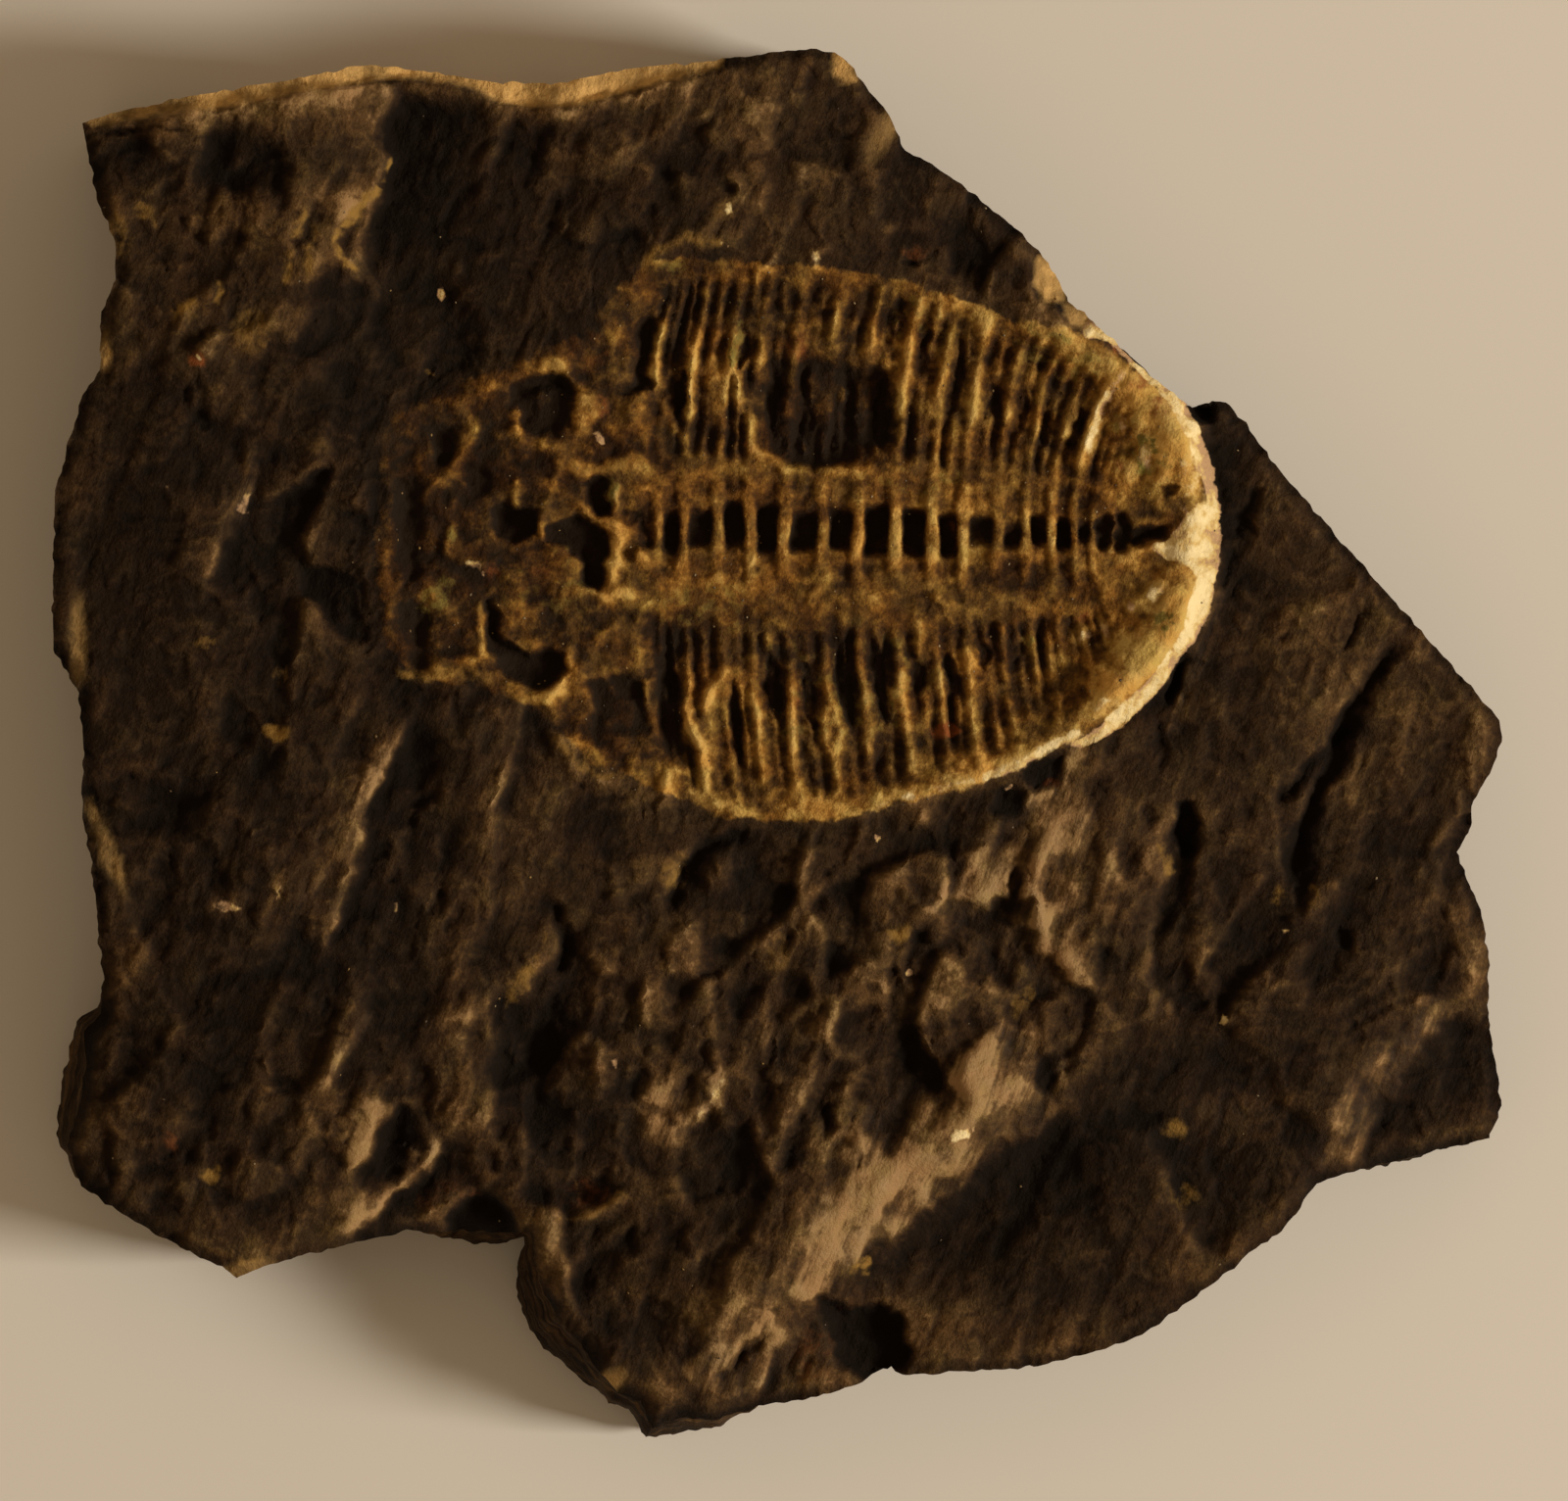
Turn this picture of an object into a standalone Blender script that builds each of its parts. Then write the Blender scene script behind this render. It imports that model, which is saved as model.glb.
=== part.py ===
"""Plate of dark shale with the hollow imprint of a trilobite in its face, lying on its flat back.

Shapes on the face are drawn on a square grid, x to the right and y down, seen from above.
Heights are in millimetres above the flat back.
"""

import math

import bpy
import bmesh
import numpy as np
from mathutils import Vector, noise
from mathutils.geometry import delaunay_2d_cdt

NAME = "trilobite_slab"

# Driving sizes, in metres
BODY_LENGTH = 0.070
MILLIMETRE = 0.001

# The drawing grid: the body is this many squares long, and the slab's middle is at the centre
BODY_SQUARES = 875
SQUARE = BODY_LENGTH / BODY_SQUARES
GRID_CENTRE = (794.5, 762.5)

# Mesh density, in squares, and the number of triangles kept
FOSSIL_SPACING = 5.0
STONE_SPACING = 9.0
EDGE_SPACING = 16.0
FINE_MARGIN = 20.0
JITTER = 0.15
BORDER_GAP = 0.7
ROW_STEP = 0.87
TRIANGLES = 8800
FLAT_BACK = 0.0002

# Broken outline of the slab, clockwise from its top left corner
OUTLINE = (
    (84, 125), (117, 115), (204, 97), (286, 84), (378, 66), (423, 71), (500, 79), (561, 82),
    (638, 69), (714, 64), (800, 53), (831, 50), (851, 54), (866, 66), (884, 90), (902, 112),
    (922, 153), (938, 163), (973, 189), (1019, 230), (1060, 260), (1078, 278), (1091, 306),
    (1152, 357), (1208, 408), (1218, 415), (1238, 409), (1252, 411), (1259, 418), (1310, 485),
    (1412, 602), (1530, 735), (1533, 752), (1524, 781), (1503, 820), (1499, 850), (1487, 870),
    (1509, 924), (1519, 970), (1520, 1010), (1522, 1052), (1532, 1100), (1535, 1133), (1524, 1164),
    (1438, 1189), (1361, 1205), (1346, 1210), (1310, 1256), (1280, 1276), (1244, 1307),
    (1167, 1363), (1127, 1378), (1060, 1396), (1019, 1399), (933, 1404), (902, 1399),
    (880, 1412), (851, 1422), (800, 1435), (775, 1440), (735, 1463), (658, 1475), (641, 1445),
    (620, 1438), (587, 1409), (541, 1363), (530, 1330), (528, 1295), (531, 1269), (500, 1276),
    (459, 1269), (413, 1258), (357, 1269), (306, 1281), (260, 1295), (240, 1304), (226, 1292),
    (189, 1276), (133, 1246), (77, 1215), (54, 1174), (54, 1145), (60, 1095), (71, 1047),
    (92, 1031), (101, 1000), (98, 919), (92, 870), (84, 835), (85, 760), (80, 705), (54, 662),
    (54, 592), (56, 500), (84, 403), (102, 378), (104, 318), (119, 285), (118, 245), (100, 205),
)

# Each level of the broken side: share of the face's height, and how far in it lies
SIDE_LAYERS = ((0.0, 11), (0.16, 3), (0.34, 5), (0.40, 1), (0.62, 0), (0.70, 3), (0.88, 1), (1.0, 3))

# Places where the side slants and shows from above: x, y, reach, inset, fall in millimetres
INSET = 3
FALL = 4
SLANTS = (
    (540, 92, 95, 24, 0.3),
    (1076, 290, 42, 12, 0.2),
    (1160, 372, 60, 6, 0.2),
    (72, 1110, 90, 26, 2.4),
    (560, 1360, 95, 34, 2.6),
    (690, 1455, 70, 20, 1.8),
    (470, 1262, 45, 8, 1.2),
    (1440, 1180, 90, 6, 0.8),
)
EDGE_INSET = 3.0
EDGE_FALL = 0.45
EDGE_REACH = 16.0
SLANT_REACH = 1.6
SLANT_START = 0.3

# Broad lie of the face: x, y, height
LIE = (
    (90, 130, 14.8), (180, 190, 15.9), (290, 110, 16.6), (300, 200, 16.9), (250, 300, 16.4),
    (404, 170, 14.5), (395, 300, 14.5), (440, 100, 14.4), (520, 200, 14.8), (620, 120, 15.3),
    (620, 300, 15.3), (800, 90, 15.8), (760, 180, 15.8), (860, 160, 15.6), (940, 220, 15.1),
    (1030, 270, 15.4), (1300, 520, 13.9), (1400, 640, 14.1), (1480, 760, 14.5), (1300, 700, 14.2),
    (1285, 600, 13.8), (1275, 480, 13.9), (1240, 700, 14.2), (1150, 820, 14.5), (1050, 860, 14.8),
    (1260, 900, 14.0), (1400, 900, 14.3),
    (1480, 960, 14.0), (1330, 1050, 14.2), (1200, 1080, 13.9), (1100, 1040, 14.4),
    (1450, 1130, 12.3), (1500, 1100, 12.2), (1230, 1200, 13.1), (1130, 1180, 12.5),
    (1000, 1300, 12.3), (1150, 1330, 12.5), (1050, 1380, 12.4), (1330, 1180, 13.8),
    (950, 1100, 14.6), (850, 1100, 14.7), (750, 1100, 14.6), (760, 1250, 14.4), (680, 1300, 14.0),
    (640, 1380, 13.2), (700, 1420, 13.0), (600, 1150, 13.7), (560, 1100, 13.3), (540, 1250, 13.0),
    (100, 500, 14.6), (80, 700, 14.6), (200, 600, 15.3), (300, 600, 14.9), (120, 900, 14.9),
    (250, 900, 15.4), (330, 900, 15.5), (430, 850, 14.3), (500, 850, 15.0), (600, 950, 14.2),
    (700, 900, 14.4), (850, 900, 14.5), (980, 900, 15.0), (900, 1000, 14.9), (90, 1100, 13.8),
    (150, 1150, 14.6), (250, 1150, 15.0), (330, 1100, 15.4), (300, 1240, 14.6), (440, 1225, 12.9),
    (460, 1100, 14.6), (400, 1000, 14.9), (500, 540, 15.2), (700, 540, 15.4), (900, 540, 15.4),
    (1100, 540, 15.5), (800, 350, 15.6), (800, 740, 15.4), (1180, 450, 15.5), (1180, 640, 15.5),
    (450, 420, 15.0), (500, 690, 15.2), (620, 720, 15.0),
)
LIE_BLEND = 38.0
LIE_POWER = 1.7

# Share of a line over which its ends fade
END_FADE = 0.16

# Cleavage ledges, the low side to the right where the points run down: width, drop, reach, points
LEDGES = (
    (7, 2.0, 70, ((408, 78), (397, 120), (396, 165), (386, 205), (372, 245), (380, 290))),
    (5, 0.8, 30, ((372, 205), (348, 228), (346, 255), (375, 282))),
    (6, 0.9, 55, ((262, 440), (256, 490), (240, 535), (222, 575), (205, 620))),
    (5, 1.3, 55, ((425, 722), (405, 765), (386, 800), (370, 830), (364, 885), (344, 938), (325, 980))),
    (5, 0.7, 40, ((385, 1030), (362, 1058), (344, 1092), (336, 1120))),
    (7, 1.6, 40, ((404, 1118), (392, 1150), (380, 1180), (352, 1205))),
    (6, 1.9, 45, ((440, 1155), (449, 1180), (405, 1222), (372, 1248), (345, 1268))),
    (6, 0.8, 60, ((580, 940), (562, 980), (545, 1000), (530, 1035))),
    (6, 1.0, 60, ((498, 1000), (508, 1070), (502, 1150), (520, 1185))),
    (5, 0.7, 35, ((735, 1092), (728, 1120), (710, 1145), (690, 1160))),
    (40, 3.4, 105, ((1090, 1112), (1040, 1150), (985, 1190), (925, 1235), (870, 1272), (830, 1318),
                   (800, 1345), (760, 1378), (712, 1425))),
    (28, 2.2, 85, ((1492, 1012), (1430, 1085), (1400, 1125), (1360, 1180))),
    (6, 0.7, 50, ((1205, 815), (1190, 860), (1192, 900), (1176, 945), (1170, 975), (1178, 1005),
                  (1195, 1035), (1212, 1056))),
    (6, 0.8, 45, ((1098, 768), (1084, 798), (1062, 815), (1020, 848), (1000, 880), (975, 900))),
    (5, 0.5, 35, ((1020, 925), (1000, 926), (985, 940), (972, 950))),
    (5, 0.6, 35, ((1005, 960), (1010, 1005), (1028, 1035), (1048, 1052))),
    (5, 0.6, 45, ((840, 935), (800, 955), (795, 985), (780, 1000))),
    (8, 0.9, 60, ((1130, 1128), (1180, 1165), (1205, 1235), (1238, 1295))),
    (6, 0.5, 50, ((520, 760), (505, 850), (500, 930), (470, 1000))),
    (12, 1.7, 60, ((1196, 402), (1224, 440), (1243, 500), (1249, 560), (1241, 625), (1212, 680),
                   (1165, 726), (1110, 756))),
    (7, 0.6, 60, ((205, 100), (212, 150), (190, 210), (200, 260))),
    (6, 0.5, 40, ((960, 800), (955, 830), (975, 850))),
)

# Cracks and thin furrows: width, depth, points
FURROWS = (
    (9, 1.2, ((1440, 645), (1402, 690), (1380, 725), (1368, 765), (1345, 805), (1328, 860), (1318, 925))),
    (7, 0.8, ((560, 915), (578, 960), (566, 1000))),
    (8, 0.9, ((770, 850), (720, 865), (690, 905), (680, 935))),
    (6, 0.8, ((1300, 830), (1345, 775), (1385, 735))),
    (6, 0.7, ((708, 1095), (700, 1125), (696, 1142))),
    (7, 0.8, ((940, 1105), (912, 1130), (888, 1172))),
    (8, 0.8, ((414, 402), (417, 450), (411, 500), (414, 545), (406, 585), (418, 630), (426, 674))),
    (6, 0.6, ((1262, 555), (1272, 520), (1292, 495))),
    (6, 0.7, ((1215, 665), (1200, 690), (1192, 715))),
)

# Ridges and bumps that aren't ribs: width, height, points
RIDGES = (
    (9, 0.35, ((398, 440), (386, 492), (389, 530), (376, 562), (384, 620), (396, 665))),
    (10, 0.7, ((402, 690), (430, 690), (465, 698), (500, 712), (555, 722))),
    (12, 0.7, ((428, 590), (444, 615), (462, 645))),
    (7, 0.7, ((545, 370), (572, 372), (592, 392), (608, 418), (590, 445), (560, 455))),
    (7, 0.7, ((500, 612), (492, 650), (482, 678))),
    (8, 0.8, ((640, 612), (612, 632), (598, 660), (590, 690), (566, 708), (535, 716))),
    (6, 0.6, ((566, 745), (578, 768), (600, 786), (640, 792), (672, 800), (690, 776))),
    (7, 0.5, ((620, 505), (628, 545), (618, 590), (590, 606))),
    (6, 0.5, ((500, 510), (552, 508), (556, 555), (510, 560))),
    (7, 0.4, ((630, 340), (632, 400), (660, 405), (672, 360), (680, 300))),
    (6, 0.5, ((790, 1350), (788, 1385), (770, 1425))),
    (9, 0.5, ((655, 275), (690, 245), (740, 240), (762, 252))),
    (6, 0.4, ((565, 480), (560, 500), (552, 520))),
)

# Pits: x, y, half length, half width, anticlockwise turn of the long way in degrees, depth
PIT_RIM = 1.22
PIT_WALL = 0.55
PITS = (
    (842, 420, 76, 57, 0, 1.5),
    (942, 1072, 42, 24, 80, 1.7),
    (1070, 1093, 30, 14, 80, 1.3),
    (1213, 847, 25, 11, 90, 1.4),
    (885, 1370, 48, 34, 165, 1.8),
    (405, 1170, 34, 17, 65, 1.6),
    (490, 1252, 32, 24, 0, 1.9),
    (600, 1218, 24, 14, 10, 0.7),
    (525, 531, 24, 16, 4, 1.3),
    (583, 545, 24, 14, 0, 1.3),
    (608, 572, 26, 11, 80, 1.2),
    (607, 506, 19, 10, 125, 1.1),
    (550, 389, 25, 11, 15, 1.3),
    (550, 419, 26, 16, 150, 1.1),
    (508, 648, 26, 11, 102, 1.3),
    (543, 682, 32, 14, 168, 1.4),
    (1062, 790, 26, 13, 30, 1.2),
    (1028, 822, 16, 14, 0, 0.9),
    (1226, 420, 14, 13, 0, 1.5),
    (650, 366, 27, 10, 90, 0.8),
    (250, 168, 52, 34, 170, 0.6),
    (430, 340, 55, 70, 20, 0.7),
    (1138, 541, 14, 16, 0, 1.0),
    (1190, 497, 12, 8, 160, 0.4),
    (1372, 958, 10, 8, 0, 0.6),
    (135, 820, 60, 34, 170, 0.7),
    (650, 745, 44, 40, 20, 0.6),
    (1038, 900, 18, 7, 90, 0.8),
)

# Outline of the fossil, clockwise from the front of its head
FOSSIL_OUTLINE = (
    (380, 560), (386, 480), (402, 425), (445, 398), (520, 372), (590, 340), (628, 296), (655, 266),
    (700, 252), (780, 256), (840, 256), (900, 268), (960, 284), (1010, 302), (1060, 318),
    (1100, 336), (1145, 362), (1185, 398), (1212, 432), (1232, 480), (1242, 540), (1238, 595),
    (1224, 640), (1196, 684), (1160, 716), (1118, 744), (1080, 764), (1000, 798), (940, 815),
    (885, 832), (840, 838), (780, 838), (730, 834), (690, 816), (640, 792), (595, 778), (570, 745),
    (540, 718), (480, 702), (425, 690), (396, 665),
)
FOSSIL_EDGE = ((380, 70), (600, 60), (700, 36), (1240, 30))
BODY_DEPTH = ((380, 0.15), (480, 0.45), (620, 0.75), (1240, 0.9))

# The body's axis, drawn at this y and sinking by this slope
AXIS_Y = 538.0
AXIS_START = 650.0
AXIS_SLOPE = 0.012
AXIS_END = 1196.0
AXIS_TIP = 24.0

# Raised ridges between the rings of the axis: weak ones on the head, then neck to tail, then the tail
HEAD_RINGS = (602, 624, 647)
RING_RIDGES = (671, 696, 733, 764, 800, 839, 875, 914, 952, 984, 1019, 1048, 1074, 1097, 1117)
TAIL_RINGS = (1134, 1152, 1172, 1192)

# Where the relief of the rings starts behind the head, and over how many squares it grows
NECK = (632, 62)

# Half width of the axis, the outer ends of the ribs and their lean, each by x
AXIS_HALF = ((650, 40), (750, 36), (850, 32), (1000, 22), (1100, 18), (1150, 15), (1200, 6))
UPPER_MARGIN = (
    (600, 335), (650, 268), (780, 258), (900, 270), (1000, 300), (1060, 318), (1140, 362),
    (1180, 395), (1212, 435), (1240, 520),
)
LOWER_MARGIN = (
    (600, 785), (680, 814), (740, 834), (850, 838), (900, 828), (1000, 797), (1080, 764),
    (1130, 738), (1160, 715), (1200, 680), (1225, 640), (1240, 580),
)
RIB_LEAN = ((650, 34), (780, 27), (900, 26), (1000, 30), (1060, 36), (1117, 48), (1170, 60))
LEAN_POWER = 1.7
LOWER_LEAN = 0.75
FURROW_BAND = 24.0
BAND_SHARE = 0.3

# Relief of the body, in millimetres
RING_DEPTH = 1.05
AXIS_DEPTH = 0.55
RIB_DEPTH = 0.5
FIELD_DEPTH = 0.75
TAIL_RIB_DEPTH = 0.18
WOBBLE = 3.5
WOBBLE_SIZE = 46.0
LIP_HEIGHT = 0.95
LIP_WIDTH = 13.0
LIP_BACK = 9.0
LIP_PARTS = ((1095, 350, 60), (1190, 430, 80), (1240, 540, 100), (1190, 670, 100), (1090, 755, 90),
             (980, 800, 80), (880, 830, 70))

# Streaks of the cleavage, in squares and millimetres, and the way they run on the grid
STREAK_ALONG = 150.0
STREAK_ACROSS = 24.0
STREAK_HEIGHT = 0.24
LUMP_SIZE = 62.0
LUMP_HEIGHT = 0.45
STREAK_WAY = (-0.34, 0.94)
FOSSIL_CALM = 0.75
CALM_EDGE = 34.0
EDGE_CRUMBLE = 3.2
EDGE_LUMP = 11.0
LAYER_CRUMBLE = 2.2
LAYER_LUMP = 34.0
SEED = 14


def ease(value):
    """Smooth step from 0 to 1."""
    share = np.clip(value, 0.0, 1.0)
    return share * share * (3.0 - 2.0 * share)


def by_x(x, table):
    """Value of a small table at x, straight between its rows."""
    columns = np.array(table, dtype=float)
    return np.interp(x, columns[:, 0], columns[:, 1])


def along_line(x, y, points):
    """Distance to a broken line, the side it is on (1 or -1) and the share of the line run so far."""
    corners = np.array(points, dtype=float)
    steps = np.diff(corners, axis=0)
    lengths = np.hypot(steps[:, 0], steps[:, 1])
    total = lengths.sum()
    run = 0.0
    nearest = np.full(x.shape, 1e9)
    side = np.ones(x.shape)
    share = np.zeros(x.shape)
    for corner, step, length in zip(corners[:-1], steps, lengths):
        from_x = x - corner[0]
        from_y = y - corner[1]
        place = np.clip((from_x * step[0] + from_y * step[1]) / length ** 2, 0.0, 1.0)
        gap = np.hypot(from_x - place * step[0], from_y - place * step[1])
        closer = gap < nearest
        turn = np.where(step[1] * from_x - step[0] * from_y >= 0.0, 1.0, -1.0)
        nearest = np.where(closer, gap, nearest)
        side = np.where(closer, turn, side)
        share = np.where(closer, (run + place * length) / total, share)
        run += length
    return nearest, side, share


def inside(x, y, points):
    """True where a place lies inside a closed outline."""
    found = np.zeros(x.shape, dtype=bool)
    for (ax, ay), (bx, by) in zip(points, points[1:] + points[:1]):
        crosses = (ay > y) != (by > y)
        rise = by - ay if by != ay else 1e-9
        found ^= crosses & (x < (bx - ax) * (y - ay) / rise + ax)
    return found


def depth_inside(x, y, points):
    """Distance to a closed outline, positive inside it."""
    gap, _, _ = along_line(x, y, points + points[:1])
    return np.where(inside(x, y, points), gap, -gap)


def near(x, y, points, reach):
    """Index of the places within reach of a line's box."""
    corners = np.array(points, dtype=float)
    low = corners.min(axis=0) - reach
    high = corners.max(axis=0) + reach
    return np.nonzero((x > low[0]) & (x < high[0]) & (y > low[1]) & (y < high[1]))[0]


def fade_ends(share):
    """1 along a line, falling to 0 at both of its ends."""
    return ease(share / END_FADE) * ease((1.0 - share) / END_FADE)


def ledges(x, y):
    """Steps in the cleavage: a sharp drop that heals away on both sides."""
    height = np.zeros(x.shape)
    for width, drop, reach, points in LEDGES:
        at = near(x, y, points, 3.0 * reach)
        gap, side, share = along_line(x[at], y[at], points)
        fall = np.clip(side * gap / width, -1.0, 1.0) * np.exp(-((gap / reach) ** 2))
        height[at] -= 0.5 * drop * fall * fade_ends(share)
    return height


def lines(x, y, table, sign):
    """Raised or sunk lines with a rounded section."""
    height = np.zeros(x.shape)
    for width, size, points in table:
        at = near(x, y, points, 4.0 * width)
        gap, _, share = along_line(x[at], y[at], points)
        height[at] += sign * size * np.exp(-((gap / width) ** 2)) * fade_ends(share)
    return height


def pits(x, y):
    """Sunk ovals with steep walls."""
    height = np.zeros(x.shape)
    for centre_x, centre_y, length, width, turn, depth in PITS:
        angle = math.radians(turn)
        across_x = (x - centre_x) * math.cos(angle) - (y - centre_y) * math.sin(angle)
        across_y = (x - centre_x) * math.sin(angle) + (y - centre_y) * math.cos(angle)
        round_gap = np.hypot(across_x / length, across_y / width)
        height -= depth * ease((PIT_RIM - round_gap) / PIT_WALL)
    return height


def lie(x, y):
    """Broad lie of the face, blended from its named spots."""
    total = np.zeros(x.shape)
    weight = np.zeros(x.shape)
    for spot_x, spot_y, height in LIE:
        pull = 1.0 / ((x - spot_x) ** 2 + (y - spot_y) ** 2 + LIE_BLEND ** 2) ** LIE_POWER
        total += pull * height
        weight += pull
    return total / weight


def wobble(x, y):
    """Small sideways wander of the ribs, in squares."""
    places = zip(x / WOBBLE_SIZE, y / WOBBLE_SIZE)
    return WOBBLE * np.array([noise.noise(Vector((a, b, 3.0 * SEED))) for a, b in places])


def body_place(x, y):
    """Gap to the axis, the axis's half width, gap to its furrow, share of the field and count of ribs."""
    from_axis = y - (AXIS_Y + AXIS_SLOPE * (x - AXIS_START))
    half = by_x(x, AXIS_HALF)
    reach = np.where(from_axis < 0.0, AXIS_Y - by_x(x, UPPER_MARGIN), by_x(x, LOWER_MARGIN) - AXIS_Y)
    out = np.abs(from_axis) - half
    field = out / np.maximum(reach - half, 1.0)
    lean = by_x(x, RIB_LEAN) * np.clip(field, 0.0, 1.1) ** LEAN_POWER
    lean = np.where(from_axis < 0.0, lean, LOWER_LEAN * lean)
    rings = HEAD_RINGS + RING_RIDGES + TAIL_RINGS
    numbers = np.arange(len(rings)) - len(HEAD_RINGS)
    count = np.interp(x - lean + wobble(x, y), rings, numbers)
    return from_axis, half, out, field, count


def imprint(x, y):
    """Hollow cast of the animal, in millimetres."""
    depth = depth_inside(x, y, FOSSIL_OUTLINE)
    within = ease(depth / by_x(x, FOSSIL_EDGE))
    from_axis, half, out, field, count = body_place(x, y)
    segments = len(RING_RIDGES) - 1
    thorax = ease((x - NECK[0]) / NECK[1]) * ease((segments + 0.5 - count) / 0.8)
    tail = ease((count - segments + 0.2) / 0.8)
    behind_head = np.maximum(thorax, tail)

    on_axis = ease((half + 5.0 - np.abs(from_axis)) / 12.0)
    ring_hollow = np.sqrt(np.abs(np.sin(math.pi * count)) + 1e-6)
    trough = 1.0 - np.clip(from_axis / half, -1.0, 1.0) ** 2
    axis = on_axis * (AXIS_DEPTH * trough + RING_DEPTH * thorax * ring_hollow)
    axis_end = ease((AXIS_END - x) / AXIS_TIP)

    in_field = ease((out - FURROW_BAND) / 30.0) * ease((1.0 - field) / 0.12)
    in_field = np.maximum(in_field, BAND_SHARE * ease(out / 12.0) * ease((1.0 - field) / 0.12))
    rib_hollow = np.sqrt(np.abs(np.sin(2.0 * math.pi * count)) + 1e-6)
    strength = RIB_DEPTH * thorax + TAIL_RIB_DEPTH * tail
    hollow = np.sin(math.pi * np.clip(field, 0.0, 1.0)) ** 0.7
    fields = in_field * strength * rib_hollow + FIELD_DEPTH * hollow * behind_head

    gap = np.abs(depth - LIP_WIDTH * 0.6)
    lip_side = np.where(depth > LIP_WIDTH * 0.6, LIP_BACK, LIP_WIDTH)
    part = np.zeros(x.shape)
    for centre_x, centre_y, reach in LIP_PARTS:
        distance = np.hypot(x - centre_x, y - centre_y)
        part = np.maximum(part, ease(1.6 - distance / reach))
    lip = LIP_HEIGHT * part * np.exp(-((gap / lip_side) ** 2))
    cut = within * (by_x(x, BODY_DEPTH) + behind_head * (axis * axis_end + fields * (1.0 - on_axis)))
    return lip - cut


def streaks(x, y):
    """Streaky cleavage and broad lumps of the broken face."""
    along = (x * STREAK_WAY[0] + y * STREAK_WAY[1]) / STREAK_ALONG
    across = (x * STREAK_WAY[1] - y * STREAK_WAY[0]) / STREAK_ACROSS
    fine = [noise.noise(Vector((a, b, SEED))) for a, b in zip(across, along)]
    broad = [noise.noise(Vector((a / LUMP_SIZE, b / LUMP_SIZE, -SEED))) for a, b in zip(x, y)]
    return STREAK_HEIGHT * np.array(fine) + LUMP_HEIGHT * np.array(broad)


def slant(x, y, column):
    """How much the slanting stretches of the side add at a place: their inset or their fall."""
    total = np.zeros(x.shape)
    for row in SLANTS:
        distance = np.hypot(x - row[0], y - row[1])
        total += row[column] * np.exp(-((distance / row[2]) ** 2))
    return total


def face_height(x, y, edge):
    """Height of the front face at a place that lies this far inside the outline."""
    fossil = ease(depth_inside(x, y, FOSSIL_OUTLINE) / CALM_EDGE + 0.6)
    height = lie(x, y) + ledges(x, y) + lines(x, y, RIDGES, 1.0) + lines(x, y, FURROWS, -1.0)
    height += pits(x, y) + imprint(x, y) + streaks(x, y) * (1.0 - FOSSIL_CALM * fossil)
    fall = EDGE_FALL + slant(x, y, FALL)
    reach = EDGE_REACH + SLANT_REACH * slant(x, y, INSET)
    return height - fall * (1.0 - ease(edge / reach)) ** 1.5


def broken_outline():
    """The outline with its long stretches parted and crumbled a little."""
    places = []
    for (ax, ay), (bx, by) in zip(OUTLINE, OUTLINE[1:] + OUTLINE[:1]):
        length = math.hypot(bx - ax, by - ay)
        parts = max(1, round(length / EDGE_SPACING))
        for part in range(parts):
            share = part / parts
            x = ax + share * (bx - ax)
            y = ay + share * (by - ay)
            lump = noise.noise(Vector((x / EDGE_LUMP, y / EDGE_LUMP, SEED)))
            push = EDGE_CRUMBLE * lump if part else 0.0
            places.append((x - push * (by - ay) / length, y + push * (bx - ax) / length))
    return np.array(places)


def outward(places):
    """Directions pointing out of a clockwise outline, smoothed along it."""
    tangent = np.roll(places, -2, axis=0) - np.roll(places, 2, axis=0)
    normal = np.column_stack((tangent[:, 1], -tangent[:, 0]))
    return normal / np.linalg.norm(normal, axis=1)[:, None]


def face_places(edge_ring):
    """Places on the face inside its edge ring, closer together on the fossil."""
    found = []
    picker = np.random.default_rng(SEED)
    border = tuple(map(tuple, edge_ring))
    for spacing, on_fossil in ((FOSSIL_SPACING, True), (STONE_SPACING, False)):
        rows = np.arange(edge_ring[:, 1].min(), edge_ring[:, 1].max(), spacing * ROW_STEP)
        columns = np.arange(edge_ring[:, 0].min(), edge_ring[:, 0].max(), spacing)
        grid_x, grid_y = np.meshgrid(columns, rows)
        grid_x = grid_x + spacing * 0.5 * (np.arange(len(rows)) % 2)[:, None]
        x = grid_x.ravel() + picker.uniform(-JITTER, JITTER, grid_x.size) * spacing
        y = grid_y.ravel() + picker.uniform(-JITTER, JITTER, grid_y.size) * spacing
        fossil = depth_inside(x, y, FOSSIL_OUTLINE) > -FINE_MARGIN
        keep = (fossil == on_fossil) & (depth_inside(x, y, border) > spacing * BORDER_GAP)
        found.append(np.column_stack((x[keep], y[keep])))
    return np.vstack(found)


def world(x, y, height):
    """Place on the drawing grid and height in millimetres, as metres from the slab's middle."""
    return (
        (x - GRID_CENTRE[0]) * SQUARE,
        (GRID_CENTRE[1] - y) * SQUARE,
        height * MILLIMETRE,
    )


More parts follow.
